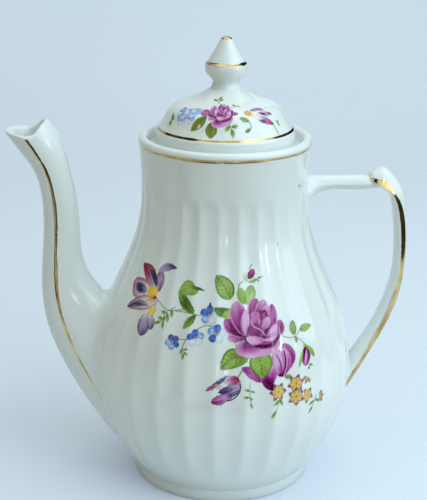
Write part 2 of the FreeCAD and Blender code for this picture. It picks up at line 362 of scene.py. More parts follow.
# %% Body sizes in mm, as in the CAD
FOOT_R, FOOT_H, FOOT_STEP = 44.9, 6.0, 0.5
RING_W, RING_SLOPE, HOLLOW_Z = 4.4, 1.2, 3.5
BELLY_R, BELLY_Z = 64.3, 55.0
NECK_R, NECK_Z = 40.6, 150.0
RIM_R, RIM_Z = 42.1, 174.8
RECESS_R, LEDGE_Z, LEDGE_BORE = 37.3, 170.0, 31.5
LEDGE_FOOT_Z, UNDER_LEDGE_Z = 166.0, 160.5
WALL, FLOOR_R, FLOOR_Z = 4.2, 31.4, 8.0
FLUTES, FLUTE_DEPTH = 28, 0.95
FLUTE_START, FLUTE_RISE, FLUTE_END, FLUTE_FALL = 10.0, 17.0, 152.6, 5.0
FLUTE_PULL = (0.0, 0.12, 0.4, 0.6, 0.88, 1.0)  # the curve's points across one flute
CREASE_R, CREASE_Z = 41.55, 170.96


def wall_points(inset):
    foot, belly, neck = FOOT_R - FOOT_STEP - inset, BELLY_R - inset, NECK_R - inset
    return [
        (foot, FOOT_H),
        (mix(foot, belly, 0.46), mix(FOOT_H, BELLY_Z, 0.28)),
        (mix(foot, belly, 0.91), mix(FOOT_H, BELLY_Z, 0.72)),
        (belly, BELLY_Z),
        (mix(neck, belly, 0.73), mix(BELLY_Z, NECK_Z, 0.37)),
        (mix(neck, belly, 0.30), mix(BELLY_Z, NECK_Z, 0.62)),
        (mix(neck, belly, 0.05), mix(BELLY_Z, NECK_Z, 0.82)),
        (neck, NECK_Z),
        (CREASE_R - inset, CREASE_Z),
    ]


wall_line = smooth_line(wall_points(0.0), FINE)


# %% Radius of the fluted wall at any height and angle
def plain_radius(z):
    return np.interp(z, wall_line[:, 1], wall_line[:, 0])


def flute_fade(z):
    rise = soft_step((z - FLUTE_START) / FLUTE_RISE)
    return rise * soft_step((FLUTE_END - z) / FLUTE_FALL)


across = np.linspace(0.0, 1.0, 65)
spread = sum(math.comb(5, k) * across**k * (1 - across) ** (5 - k) * pull
             for k, pull in enumerate(FLUTE_PULL))


def flute_press(angle):
    """1 in the middle of a flute, 0 on the ridges between flutes."""
    share = np.mod(angle * FLUTES / (2.0 * math.pi) + 0.5, 1.0)
    t = np.interp(share, spread, across)
    return 16.0 * t**2 * (1.0 - t) ** 2


def wall_radius(z, angle):
    plain = plain_radius(z)
    return plain - FLUTE_DEPTH * plain / BELLY_R * flute_fade(z) * flute_press(angle)


# %% Turn the body and press the flutes
outside = smooth_line(wall_points(0.0), 90)
roll_r = (RIM_R - RECESS_R) / 2.0
roll = [(RIM_R - roll_r + roll_r * math.cos(a), RIM_Z - roll_r + roll_r * math.sin(a))
        for a in np.linspace(-0.15, math.pi, 13)]
inner = wall_points(WALL)[1:-1] + [(NECK_R - WALL, UNDER_LEDGE_Z)]
floor_bend = (mix(FLOOR_R, inner[0][0], 0.72), mix(FLOOR_Z, inner[0][1], 0.3))
inside = smooth_line([(FLOOR_R, FLOOR_Z), floor_bend] + inner, np.linspace(1.0, 0.0, 44))
ring = FOOT_R - RING_SLOPE - RING_W
foot_line = softened([
    (0, HOLLOW_Z, 0), (ring - RING_SLOPE, HOLLOW_Z, 1.0), (ring, 0, 0.9),
    (FOOT_R - 0.9, 0, 1.0), (FOOT_R, 1.6, 1.2), (FOOT_R, 4.4, 1.8),
    (FOOT_R - FOOT_STEP, FOOT_H, 0),
])
ledge_line = softened([
    (RECESS_R, 172.4, 0), (RECESS_R, LEDGE_Z, 1.0), (LEDGE_BORE, LEDGE_Z, 0.9),
    (LEDGE_BORE, LEDGE_FOOT_Z, 1.2), (NECK_R - WALL, UNDER_LEDGE_Z, 0),
])
body_line = np.vstack([
    foot_line[:-1], outside, roll, ledge_line[1:-1], inside, [(0.0, FLOOR_Z)]])
pot = turned("body_glazed", body_line, FLUTES * 14)

points = read_points(pot)
height = points[:, 2]
angle = np.arctan2(points[:, 1], points[:, 0])
radius = np.hypot(points[:, 0], points[:, 1])
SLACK, NEAR_WALL = 0.01, 1.0
outer = (height > FOOT_H - SLACK) & (height < CREASE_Z + SLACK)
outer &= radius > plain_radius(height) - NEAR_WALL
pressed = wall_radius(height, angle) / np.maximum(radius, 1.0)
points[outer, :2] *= pressed[outer, None]
place_points(pot, points)
print("pressed", int(outer.sum()), "points of the wall into", FLUTES, "flutes")

# %% Strainer holes behind the spout
STRAINER_Z, STRAINER_R = 58.0, 9.0
HOLE_R, HOLE_X, HOLE_LENGTH = 2.5, -62.0, 14
holes = [(0.0, STRAINER_Z)]
holes += [(STRAINER_R * math.cos(a), STRAINER_Z + STRAINER_R * math.sin(a))
          for a in np.arange(6) * math.pi / 3.0]
drills = []
for y, z in holes:
    bpy.ops.mesh.primitive_cylinder_add(
        vertices=32, radius=HOLE_R * MM, depth=HOLE_LENGTH * MM,
        location=(HOLE_X * MM, y * MM, z * MM), rotation=(0, math.pi / 2, 0))
    drills.append(bpy.context.active_object)
for drill in drills:
    drill.select_set(True)
bpy.ops.object.join()
combine(pot, bpy.context.active_object, "DIFFERENCE")
dress(pot, "pot", "porcelain", glaze, "pot_body", degrees=50)

# %% [markdown]
# ## Landing one clay piece on another
# Spout and handle are cast apart and stuck on with slip, which is wiped into a small hollow
# curve all round. A bevel can't follow a fluted wall, so each tube is built in columns: a
# column runs down the tube, stops short of the wall, and bends away along the wall's surface.


# %% Where a tube meets the wall
def from_wall(p):
    turn = np.arctan2(p[..., 1], p[..., 0])
    return np.hypot(p[..., 0], p[..., 1]) - wall_radius(p[..., 2], turn)


def first_place(values, places):
    """For each column, the first place where values falls below nought."""
    below = values < 0.0
    k = np.where(below.any(axis=0), np.argmax(below, axis=0), len(places) - 1)
    k = np.clip(k, 1, len(places) - 1)
    column = np.arange(values.shape[1])
    a, b = values[k - 1, column], values[k, column]
    return mix(places[k - 1], places[k], np.clip(a / (a - b), 0.0, 1.0))


def evened(ring, rounds=2):
    for _ in range(rounds):
        ring = (np.roll(ring, 1) + 2.0 * ring + np.roll(ring, -1)) / 4.0
    return ring


def unit(vectors):
    return vectors / np.maximum(np.linalg.norm(vectors, axis=-1, keepdims=True), 1e-9)


def wall_normal(p):
    step = 0.5
    flat = np.hypot(p[:, 0], p[:, 1])
    slope = (plain_radius(p[:, 2] + step) - plain_radius(p[:, 2] - step)) / (2 * step)
    return unit(np.stack([p[:, 0] / flat, p[:, 1] / flat, -slope], axis=1))


def along_wall(vectors, up):
    """Unit vectors along the wall, with what points out of it taken off."""
    return unit(vectors - up * np.sum(vectors * up, axis=1, keepdims=True))


# %% Landing a tube on the wall
SPLAY, SINK, TUCK = 0.3, 0.25, 0.8


def landing(tube, ring_places, start, reach, tube_rows=56, bend_rows=9):
    """Rows of a tube from start down to the wall, ending in a hollow curve along the wall."""
    steps = np.linspace(0.0, 1.0, FINE)
    solid = tube(start + (1.0 - start) * steps[:, None], ring_places[None, :])
    meet = evened(start + (1.0 - start) * first_place(from_wall(solid), steps))
    corner = tube(meet, ring_places)
    nudge = 1e-3
    run = (tube(meet - nudge, ring_places) - corner) / nudge
    leave = meet - reach / np.maximum(np.linalg.norm(run, axis=1), 1e-6)
    leave = np.maximum(leave, mix(start, meet, 0.1))
    rows = [tube(mix(start, leave, s), ring_places) for s in np.linspace(0.0, 1.0, tube_rows)]
    outward = corner - corner.mean(axis=0)
    face = unit(np.cross(np.roll(corner, -1, axis=0) - np.roll(corner, 1, axis=0), run))
    face *= np.sign(np.sum(face * outward, axis=1, keepdims=True))
    up = wall_normal(corner)
    away = unit(along_wall(face, up) + SPLAY * along_wall(outward, up))
    foot = corner + away * np.reshape(reach, (-1, 1))
    turn = np.arctan2(foot[:, 1], foot[:, 0])
    foot = about_axis(wall_radius(foot[:, 2], turn), turn, foot[:, 2])
    last = rows[-1]
    rows += [bent(last, corner, foot, t) for t in np.linspace(0.0, 1.0, bend_rows + 1)[1:]]
    return rows + [foot - wall_normal(foot) * SINK + away * TUCK]


def closed_ring(rows):
    grid = np.array(rows)
    return np.concatenate([grid, grid[:, :1]], axis=1)


# %% [markdown]
# ## The spout
# The spout is the most skilful form of the pot: a swan neck that is broad at the belly, narrow
# at the throat and opens to a beak, with a ridge down each side that carries a gold line. It
# could be a curve with a bevel, but its section changes from place to place, so sections are
# given one by one and faces are laid through them, outside, over the lip and down the bore.

# %% Spout sections: low point, high point (x, z) and half width, in mm
SPOUT_ROWS = np.array([
    (-45.0, 10.0, -45.0, 94.0, 31.0),
    (-55.0, 18.5, -57.5, 94.3, 22.5),
    (-68.0, 36.0, -61.5, 97.3, 15.8),
    (-79.8, 57.0, -65.5, 102.8, 12.6),
    (-87.8, 77.7, -68.6, 109.5, 10.6),
    (-90.2, 98.0, -70.4, 119.0, 9.4),
    (-89.0, 120.0, -71.0, 134.0, 8.8),
    (-88.7, 141.0, -72.6, 147.5, 9.2),
    (-92.6, 157.5, -75.7, 162.0, 10.3),
    (-99.3, 167.5, -79.6, 174.0, 11.9),
    (-108.3, 180.7, -86.2, 183.2, 13.5),
])
SPOUT_WALL = 2.8
RIDGE_SHARE, RIDGE_LEAN = 0.38, 0.12
ROUND = 0.5523


def quarter(a, b, c, d, t):
    return (1 - t) ** 3 * a + 3 * t * (1 - t) ** 2 * b + 3 * t**2 * (1 - t) * c + t**3 * d


def ridged(front_depth, back_depth, half, lean, v):
    """Place on a ridged section: forward and sideways, for v from 0 to 1 around it."""
    v = np.mod(v, 1.0) * 4.0
    forward = v < 2.0
    t = np.where(v < 1, v, np.where(v < 2, 2 - v, np.where(v < 3, v - 2, 4 - v)))
    side = np.where((v < 1) | (v >= 3), 1.0, -1.0)
    depth = np.where(forward, front_depth, -back_depth)
    lean = np.where(forward, 1.0 - lean, 1.0)
    ahead = quarter(0.0, ROUND, 1.0, 1.0, t) * depth
    beside = quarter(1.0, lean, ROUND, 0.0, t) * half * side
    return ahead, beside


def spout_at(u, v, inset=0.0):
    """A point of the spout: u runs from the mouth, 0, to the root, 1."""
    u, v = np.broadcast_arrays(u, v)
    row = smooth_line(SPOUT_ROWS[::-1], u)
    low, high, half = row[..., 0:2], row[..., 2:4], row[..., 4] - inset
    front = low - high
    length = np.linalg.norm(front, axis=-1)
    front = front / length[..., None]
    centre = low - front * (length * RIDGE_SHARE)[..., None]
    ahead, beside = ridged(length * RIDGE_SHARE - inset, length * (1 - RIDGE_SHARE) - inset,
                           half, RIDGE_LEAN, v)
    flat = centre + front * ahead[..., None]
    return np.stack([flat[..., 0], beside, flat[..., 1]], axis=-1)


# %% The lip of the beak, seen from the side: level, then steeply up to a horn at the back
LIP = smooth_line([
    (-115.0, 179.3), (-109.0, 178.2), (-102.7, 177.0), (-97.5, 176.5), (-93.9, 176.2),
    (-91.4, 177.0), (-89.5, 179.0), (-87.5, 181.2), (-85.4, 182.2), (-82.0, 182.4),
    (-77.0, 182.4),
], 160)


def over_lip(p):
    """More than nought where a point is in the space above the lip."""
    return p[..., 2] - np.interp(p[..., 0], LIP[:, 0], LIP[:, 1])


# %% Build the spout
SPOUT_RING, LIP_BACK, BORE_STOP = 72, 0.010, 1.0
FILLET, FILLET_MORE = 5.0, 2.0
around = np.arange(SPOUT_RING) / SPOUT_RING
near_mouth = np.linspace(0.0, 0.4, FINE)


def mouth(inset):
    above = over_lip(spout_at(near_mouth[:, None], around[None, :], inset))
    return evened(first_place(above, near_mouth), 1)


outer_mouth, inner_mouth = mouth(0.0), mouth(SPOUT_WALL)
spout_reach = FILLET + FILLET_MORE * np.abs(np.sin(2.0 * math.pi * around + math.pi / 2))
spout_rows = landing(spout_at, around, outer_mouth + LIP_BACK, spout_reach)

deep = np.linspace(0.0, 1.0, FINE)
bore = spout_at(deep[:, None], around[None, :], SPOUT_WALL)
bore_end = evened(first_place(from_wall(bore) + BORE_STOP, deep))
bore_rows = [spout_at(mix(bore_end, inner_mouth + LIP_BACK, s), around, SPOUT_WALL)
             for s in np.linspace(0.0, 1.0, 44)]
edge_out, edge_in = spout_rows[0], bore_rows[-1]
crest = (spout_at(outer_mouth, around) + spout_at(inner_mouth, around, SPOUT_WALL)) / 2.0
centre = (edge_out + edge_in) / 2.0
lip_rows = [centre + (edge_in - centre) * math.cos(a) + (crest - centre) * math.sin(a)
            for a in np.linspace(0.0, math.pi, 9)[1:-1]]
spout = clay_sheet("spout_glazed", closed_ring(spout_rows + bore_rows + lip_rows + [edge_out]))
dress(spout, "pot", "porcelain", glaze, "spout")

# %% [markdown]
# ## The handle
# The handle is one casting: a level bar from the neck, a thumb rest that curls over its end,
# and a strap that sweeps back to the belly. The two runs are laid as tubes through sections,
# landed on the wall with the same hollow curve, and joined by a Boolean union.

# %% Handle sections in mm
# bar: x, top, bottom, half width
BAR_ROWS = np.array([
    (36.0, 155.2, 135.8, 11.0),
    (41.0, 154.5, 140.5, 7.4),
    (44.5, 154.3, 144.3, 5.6),
    (49.0, 154.2, 146.7, 4.8),
    (60.0, 154.3, 147.2, 4.7),
    (69.9, 154.3, 147.5, 5.2),
    (78.0, 153.9, 148.5, 5.0),
])
# strap: x, z, the way it faces in degrees, depth before and behind, half width
STRAP_ROWS = np.array([
    (70.5, 153.6, 110.0, 0.8, 0.8, 2.6),
    (72.2, 152.6, 100.0, 3.6, 1.4, 5.6),
    (74.8, 150.9, 88.0, 7.1, 1.6, 7.0),
    (77.0, 149.9, 62.0, 7.9, 1.2, 7.2),
    (80.2, 147.9, 42.0, 6.3, 1.4, 6.9),
    (83.3, 143.8, 22.0, 5.3, 1.7, 6.5),
    (85.9, 134.0, 6.0, 4.2, 2.4, 6.2),
    (87.2, 120.0, -2.0, 3.8, 2.4, 6.0),
    (87.2, 106.0, -9.0, 3.3, 2.7, 5.9),
    (84.9, 92.5, -17.5, 3.5, 3.3, 5.8),
    (80.0, 79.0, -22.0, 3.6, 3.7, 5.8),
    (73.3, 66.0, -26.0, 3.7, 4.2, 6.2),
    (66.2, 53.5, -28.0, 3.9, 5.2, 6.8),
    (58.0, 40.0, -30.0, 4.2, 7.0, 7.0),
    (48.0, 24.0, -32.0, 4.4, 8.0, 7.0),
])
HANDLE_LEAN = 0.25


def bar_at(u, v):
    u, v = np.broadcast_arrays(u, v)
    row = smooth_line(BAR_ROWS[::-1], u)
    half_depth = (row[..., 1] - row[..., 2]) / 2.0
    ahead, beside = ridged(half_depth, half_depth, row[..., 3], HANDLE_LEAN, v)
    return np.stack([row[..., 0], beside, (row[..., 1] + row[..., 2]) / 2.0 + ahead], axis=-1)


def strap_at(u, v):
    u, v = np.broadcast_arrays(u, v)
    row = smooth_line(STRAP_ROWS, u)
    facing = np.radians(row[..., 2])
    ahead, beside = ridged(row[..., 3], row[..., 4], row[..., 5], HANDLE_LEAN, v)
    return np.stack([row[..., 0] + np.cos(facing) * ahead, beside,
                     row[..., 1] + np.sin(facing) * ahead], axis=-1)


# %% Build the handle
HANDLE_RING, STRAP_FILLET, BAR_FILLET = 48, 2.2, 2.0
around = np.arange(HANDLE_RING) / HANDLE_RING
from_start = np.zeros(HANDLE_RING)


def capped(tube_rows):
    """Closes both ends of a tube on the middle of its end rings."""
    first, last = (np.tile(tube_rows[k].mean(axis=0), (HANDLE_RING, 1)) for k in (0, -1))
    return [first] + tube_rows + [last]


strap_rows = landing(strap_at, around, from_start, from_start + STRAP_FILLET, tube_rows=110)
bar_rows = landing(bar_at, around, from_start, from_start + BAR_FILLET, tube_rows=60)
handle = clay_sheet("handle_glazed", closed_ring(capped(strap_rows)))
combine(handle, clay_sheet("handle_bar", closed_ring(capped(bar_rows))), "UNION")
dress(handle, "pot", "porcelain", glaze, "handle", degrees=40)

# %% [markdown]
# ## The lid and its knob
# The lid sits in a sunk ledge, so its band shows as a step inside the rim. A flange reaches
# down into the neck and keeps the lid from tipping off. Both are turned, with soft edges.

# %% Lid
BAND_R, BAND_TOP, BAND_EDGE = 33.7, 178.5, 1.0
SHOULDER = (25.9, 188.5)
SEAT = (7.6, 197.4)
FLANGE_R, FLANGE_IN, FLANGE_Z = 30.6, 27.6, 158.0
CEILING_Z = 191.96
VENT_R, VENT_Y, VENT_Z, VENT_LENGTH = 1.8, 19.0, 190.0, 40
SHOULDER_R, SHOULDER_Z = SHOULDER
base = BAND_R - BAND_EDGE
dome_points = [
    (base, BAND_TOP),
    (mix(base, SHOULDER_R, 0.44), mix(BAND_TOP, SHOULDER_Z, 0.45)),
    (mix(base, SHOULDER_R, 0.68), mix(BAND_TOP, SHOULDER_Z, 0.75)),
    SHOULDER,
    (mix(SHOULDER_R, SEAT[0], 0.52), mix(SHOULDER_Z, SEAT[1], 0.46)),
    SEAT,
]
dome_line = smooth_line(dome_points, 300)
dome = smooth_line(dome_points, 36)
bowl = smooth_line([(FLANGE_IN, LEDGE_Z), (25.05, 179.1), (20.46, 185.1), (SEAT[0], CEILING_Z)],
                   np.linspace(1.0, 0.0, 20))
lid_edge = softened([
    (FLANGE_IN, LEDGE_Z, 0), (FLANGE_IN, FLANGE_Z, 0.9), (FLANGE_R, FLANGE_Z, 0.9),
    (FLANGE_R, LEDGE_Z, 0.5), (BAND_R, LEDGE_Z, 0.7), (BAND_R, BAND_TOP - BAND_EDGE, 0.9),
    (base, BAND_TOP, 0),
])
lid_line = np.vstack([[(0.0, CEILING_Z)], bowl, lid_edge[1:-1], dome, [(0.0, SEAT[1])]])
lid = turned("lid_glazed", lid_line, 160)
bpy.ops.mesh.primitive_cylinder_add(vertices=32, radius=VENT_R * MM, depth=VENT_LENGTH * MM,
                                    location=(0, VENT_Y * MM, VENT_Z * MM))
combine(lid, bpy.context.active_object, "DIFFERENCE")
dress(lid, "lid", "porcelain", glaze, "lid", degrees=50)

# %% Knob
KNOB_TOP, TIP_R, TIP_H = 222.0, 3.5, 2.6
stem = smooth_line([SEAT, (6.5, 200.8), (9.0, 203.8), (10.2, 206.8), (10.0, 209.2)], 24)
cone = smooth_line([(9.2, 209.8), (7.034, 213.448), (TIP_R, 219.4)], 16)
tip_ball = (TIP_R**2 + TIP_H**2) / (2 * TIP_H)
tip = [(tip_ball * math.sin(a), KNOB_TOP - tip_ball * (1 - math.cos(a)))
       for a in np.linspace(math.asin(TIP_R / tip_ball), 0.0, 8)[1:]]
knob = turned("knob_glazed", np.vstack([[(0.0, SEAT[1])], stem, cone, tip]), 96)
dress(knob, "lid", "porcelain", glaze, "lid_finial")

# %% [markdown]
# ## The gold lines
# After the glaze firing a painter turns the pot on a wheel and holds a brush of liquid gold to
# it. The lines run under the rim, round the lid and knob, and down the ridges of spout and
# handle. They waver a little, and they wear where hands rub. Each line is a thin closed strip
# laid on the clay's own points, a twentieth of a millimetre proud.

# %% Gold, worn thin in places
gold, gold_tree, gold_shader = new_material("burnished_gold")
gold_glaze = glaze_nodes(gold_shader)
gold_place = object_place(gold_tree)
worn = noise(gold_place, scale=420.0, detail=3.0, Roughness=0.65)
kept = ramp(worn, (0.27, BLACK), (0.34, WHITE))
toned = noise(gold_place, scale=130.0, detail=1.0)
gold_colour = ramp(toned, (0.35, (0.46, 0.29, 0.09)), (0.65, (0.74, 0.53, 0.22)))
feed(gold_shader, {
    "Base Color": blend(kept, gold_glaze, gold_colour),
    "Metallic": kept,
    "Roughness": between(toned, to_min=0.05, to_max=0.22),
})
print("gold over glaze:", len(gold_tree.nodes), "nodes")


# %% A strip of gold on any surface
GOLD_PROUD, GOLD_SUNK, EDGE_TURN = 0.05, 0.12, 0.25
STRIP = np.linspace(-1.0, 1.0, 7)[:, None]


def waver(places, seed):
    """A smooth unevenness from -1 to 1 that meets itself after one turn."""
    turns = np.array([3, 5, 8, 13, 21])
    starts = np.sin(seed * np.array([12.9, 78.2, 37.7, 4.1, 93.9])) * math.pi
    waves = np.sin(2.0 * math.pi * np.outer(places, turns) + starts)
    return (waves @ (1.0 / turns**0.5)) / 1.6


def gild(name, body, surface, core, closed):
    """surface[across, along] is painted; core is a point inside the clay for each place along."""
    run = np.gradient(surface, axis=1)
    if closed:
        run = np.roll(surface, -1, axis=1) - np.roll(surface, 1, axis=1)
    up = unit(np.cross(run, np.gradient(surface, axis=0)))
    up *= np.sign(np.sum(up * (surface - core[None]), axis=-1, keepdims=True))
    crown = np.sin(np.linspace(EDGE_TURN, math.pi - EDGE_TURN, len(surface)))[:, None, None]
    loop = np.concatenate([surface + up * GOLD_PROUD * crown, (surface - up * GOLD_SUNK)[::-1]])
    loop = np.concatenate([loop, loop[:1]])
    if closed:
        loop = closed_ring(loop)
    else:
        first, last = (np.tile(loop[:, k].mean(axis=0), (len(loop), 1, 1)) for k in (0, -1))
        loop = np.concatenate([first, loop, last], axis=1)
    dress(clay_sheet(name, loop), body, "gilding", gold)


# %% Lines round the rim, the lid and the knob
WANDER, UNEVEN = 0.10, 0.22


def ring_line(name, body, outline, height, half, seed, faces=400):
    """A line round a turned outline at a height, wavering as a hand-held brush does."""
    places = np.arange(faces) / faces
    run = run_length(outline)
    middle = np.interp(height, outline[:, 1], run) + WANDER * half * waver(places, seed)
    width = half * (1.0 + UNEVEN * waver(places, seed + 0.5))
    r, z = (np.interp(middle + STRIP * width, run, outline[:, k]) for k in (0, 1))
    core = np.stack([np.zeros(faces), np.zeros(faces), z[3]], axis=-1)
    gild(name, body, about_axis(r, 2.0 * math.pi * places, z), core, True)


ring_line("rim_gold", "pot", np.vstack([outside[-12:], roll[:5]]), 171.3, 0.78, 1.0)
ring_line("lid_gold", "lid", np.vstack([lid_edge[-7:-1], dome[:12]]), 178.6, 0.60, 2.0)
ring_line("knob_gold", "lid", np.vstack([stem[-8:], cone[:6]]), 209.6, 0.80, 3.0, 160)

CAP_R, CAP_EDGE_R, CAP_EDGE, CAP_INSIDE_Z = 2.7, 2.75, 0.1, 221.0
cap_r = np.linspace(0.0, CAP_R, 10)
cap_line = np.column_stack([cap_r, np.interp(cap_r, *np.array(tip[::-1]).T)])
cap_inside = [(CAP_EDGE_R, cap_line[-1, 1] - CAP_EDGE), (0.0, CAP_INSIDE_Z)]
cap = turned("knob_tip_gold", np.vstack([cap_line + (0.0, GOLD_PROUD), cap_inside]), 48)
dress(cap, "lid", "gilding", gold)


# %% Lines down the ridges of spout and handle
def tube_lines(name, rows, first, last, beside, half):
    """A strip down each side of a tube: beside and half are in columns of the tube's ring."""
    grid = np.array(rows[first:last])
    count = grid.shape[1]
    along = np.linspace(0.0, 1.0, len(grid))
    place = np.arange(len(grid))[None, :]
    for side, ridge, lean in (("near", count / 2, -1.0), ("far", 0.0, 1.0)):
        columns = (ridge + beside(along, lean) + STRIP * half(along)) % count
        k = np.floor(columns).astype(int)
        surface = mix(grid[place, k], grid[place, (k + 1) % count], (columns - k)[..., None])
        gild(name + side, "pot", surface, grid.mean(axis=1), False)


# the spout's line leaves the ridge half-way down and thins out where it ends
tube_lines("spout_gold_", spout_rows, 0, len(spout_rows) - 7,
           lambda t, lean: lean * 3.8 * soft_step((t - 0.5) / 0.55) + 0.12 * waver(t, 4.0),
           lambda t: 0.92 * mix(0.2, 1.0, soft_step((1.0 - t) * 3.0)) * (1.0 + 0.2 * waver(t, 5.0)))
# the handle's line: share of the way down, columns beside the ridge, half width in columns
STRAP_PLACES, STRAP_BESIDE, STRAP_HALF = np.transpose([
    (0.00, 1.2, 0.6), (0.04, 1.4, 1.5), (0.24, 1.5, 1.7), (0.34, 0.9, 0.9), (0.40, 0.9, 0.9),
    (0.50, 3.0, 3.1), (0.62, 3.4, 4.2), (0.74, 3.2, 5.0), (0.88, 3.0, 4.4), (1.00, 3.0, 1.4),
])
tube_lines("handle_gold_", strap_rows, 2, len(strap_rows) - 5,
           lambda t, lean: lean * (np.interp(t, STRAP_PLACES, STRAP_BESIDE) + 0.1 * waver(t, 6.0)),
           lambda t: np.interp(t, STRAP_PLACES, STRAP_HALF))

# %% [markdown]
# ## The flower print
# The spray is a printed transfer: coloured inks on a thin film, laid on the glaze and fired so
# that they sink in. Garden flowers strewn like this are an old and common pattern on porcelain.
# This spray is drawn anew, with flowers of the same kinds, colours and places. A film is a fine
# grid of points on the clay. Each stroke tints the points that it covers, and bare film is cut
# away. An image would be simpler, but then the print couldn't follow the flutes.


# %% Inks
def ink(red, green, blue):
    """A screen colour as a scene colour."""
    c = np.array((red, green, blue)) / 255.0
    return np.where(c <= 0.04045, c / 12.92, ((c + 0.055) / 1.055) ** 2.4)


BLUSH, PINK, MAGENTA = ink(216, 166, 208), ink(186, 96, 166), ink(138, 24, 110)
WINE, ROSY, OLIVE = ink(84, 0, 64), ink(192, 158, 192), ink(134, 142, 62)
LIME, LEAF, MOSS = ink(162, 190, 96), ink(122, 156, 62), ink(68, 92, 38)
SKY, BLUE, NAVY = ink(182, 210, 240), ink(86, 128, 204), ink(46, 70, 146)
LILAC, VIOLET, PLUM = ink(180, 164, 200), ink(92, 74, 130), ink(42, 36, 72)
CREAM, CRIMSON, BLOOD = ink(236, 228, 226), ink(176, 62, 92), ink(98, 24, 48)
YELLOW, ORANGE, BROWN = ink(236, 204, 56), ink(214, 134, 44), ink(96, 60, 34)
OCHRE, MAUVE, STEM = ink(226, 188, 112), ink(134, 70, 90), ink(106, 130, 84)
DEEP, DUSK = (WINE, MAGENTA, PINK, BLUSH), (WINE, WINE, MAGENTA, PINK)
RED, GREEN = (WINE, MAGENTA, PINK), (LEAF, LIME, LEAF)


# %% A sheet of film
def film_sheet(line, low, high, left, right, lean, cell):
    """Bare film between two heights and two angles from the front, on an outline (r, z)."""
    run = run_length(line)
    rise = np.arange(*np.interp((low, high), line[:, 1], run), cell)
    radius, height = (np.interp(rise, run, line[:, k]) for k in (0, 1))
    turn = np.arange(math.radians(left), math.radians(right), cell / radius.max())
    shape = (len(rise), len(turn))
    return {"rise": rise, "radius": radius, "height": height, "turn": turn, "lean": lean,
            "ink": np.zeros((*shape, 3)), "cover": np.zeros(shape)}


def around_place(sheet, at, reach):
    """The cells near a place (angle, height, size, tilt, stretch) and their own x and y in mm."""
    angle, height, size, tilt, tall = tuple(at) + (1.0, 0.0, 1.0)[len(at) - 2:]
    k = np.argmin(np.abs(sheet["height"] - height))
    x = (sheet["turn"] - math.radians(angle)) * sheet["radius"][k]
    y = sheet["rise"] - sheet["rise"][k]
    reach *= 1.5 * size * max(tall, 1.0)
    near_x, near_y = np.abs(x) < reach, np.abs(y) < reach
    part = np.ix_(near_y, near_x)
    x, y = np.meshgrid(x[near_x] / size, y[near_y] / size / tall)
    tilt = math.radians(tilt - sheet["lean"] * angle)
    c, s = math.cos(tilt), math.sin(tilt)
    return part, c * x + s * y, c * y - s * x, size


# %% Laying ink on the film
SOFT_EDGE, BARE = 0.3, 0.01


def shade(inks, share):
    """The colour at a share of the way through several inks."""
    stops = np.linspace(0.0, 1.0, len(inks))
    return np.stack([np.interp(share, stops, [i[k] for i in inks]) for k in range(3)], axis=-1)


def covered(inside, size):
    """1 well inside a mark and 0 outside it, with a soft edge; inside is in the mark's own mm."""
    return np.clip(inside * size / SOFT_EDGE + 0.5, 0.0, 1.0)


def lay(sheet, part, cover, colour):
    bare = (sheet["cover"][part] < BARE) & (cover > 0.0)
    mixed = mix(sheet["ink"][part], colour, cover[..., None])
    sheet["ink"][part] = np.where(bare[..., None], colour, mixed)
    sheet["cover"][part] += cover * (1.0 - sheet["cover"][part])


# %% Strokes of the brush
UNSTEADY, STREAKS = 0.12, 0.10
RIM_INK, RIM_FROM, RIM_WIDE = 0.85, 0.55, 0.45


def petal(sheet, at, base, tip, half, inks, rim=None, bend=0.0, fullest=0.55, point=0.65,
          veins=None):
    """One stroke from base to tip, shaded along its length, with a rim and fine veins."""
    base, tip = np.array(base, float), np.array(tip, float)
    reach = max(np.abs(base).max(), np.abs(tip).max()) + half + abs(bend) + 1.0
    part, x, y, size = around_place(sheet, at, reach)
    length = np.linalg.norm(tip - base)
    ahead = (tip - base) / length
    u = ((x - base[0]) * ahead[0] + (y - base[1]) * ahead[1]) / length
    along = np.clip(u, 1e-6, 1.0 - 1e-6)
    v = (y - base[1]) * ahead[0] - (x - base[0]) * ahead[1] - bend * 4.0 * along * (1.0 - along)
    v = v + UNSTEADY * np.sin(1.9 * x + 2.3 * y) * np.sin(1.3 * y - 0.7 * x)
    swell = np.sin(math.pi * along ** (math.log(0.5) / math.log(fullest)))
    width = half * swell**point + 1e-4
    out = v / width
    colour = shade(inks, np.clip(along + STREAKS * np.sin(5.0 * out), 0.0, 1.0))
    if rim is not None:
        edge = RIM_INK * soft_step((np.abs(out) - RIM_FROM) / RIM_WIDE)
        colour = mix(colour, rim, edge[..., None])
    if veins is not None:
        count, vein_ink, strength = veins  # they run with the stroke, and come and go
        lines = np.cos(math.pi * count * out + 2.0 * np.sin(3.0 * along)) ** 8
        lines *= strength * np.sin(math.pi * along) ** 0.5
        lines *= 0.6 + 0.4 * np.sin(7.0 * along + 4.0 * out)
        colour = mix(colour, vein_ink, lines[..., None])
    lay(sheet, part, covered(width - np.abs(v), size) * ((u > 0.0) & (u < 1.0)), colour)


def stroke(sheet, at, points, half, colour):
    """A thin curved line, as a fold or an edge."""
    points = smooth_line(points, 14) if len(points) > 2 else np.array(points, float)
    part, x, y, size = around_place(sheet, at, np.abs(points).max() + 1.5)
    near = np.full(x.shape, 99.0)
    for a, b in zip(points, points[1:]):
        run = b - a
        t = np.clip(((x - a[0]) * run[0] + (y - a[1]) * run[1]) / (run @ run), 0.0, 1.0)
        near = np.minimum(near, np.hypot(x - a[0] - t * run[0], y - a[1] - t * run[1]))
    lay(sheet, part, covered(half - near, size), colour)


def stalk(sheet, at, points, half=0.2):
    stroke(sheet, at, points, half, STEM)


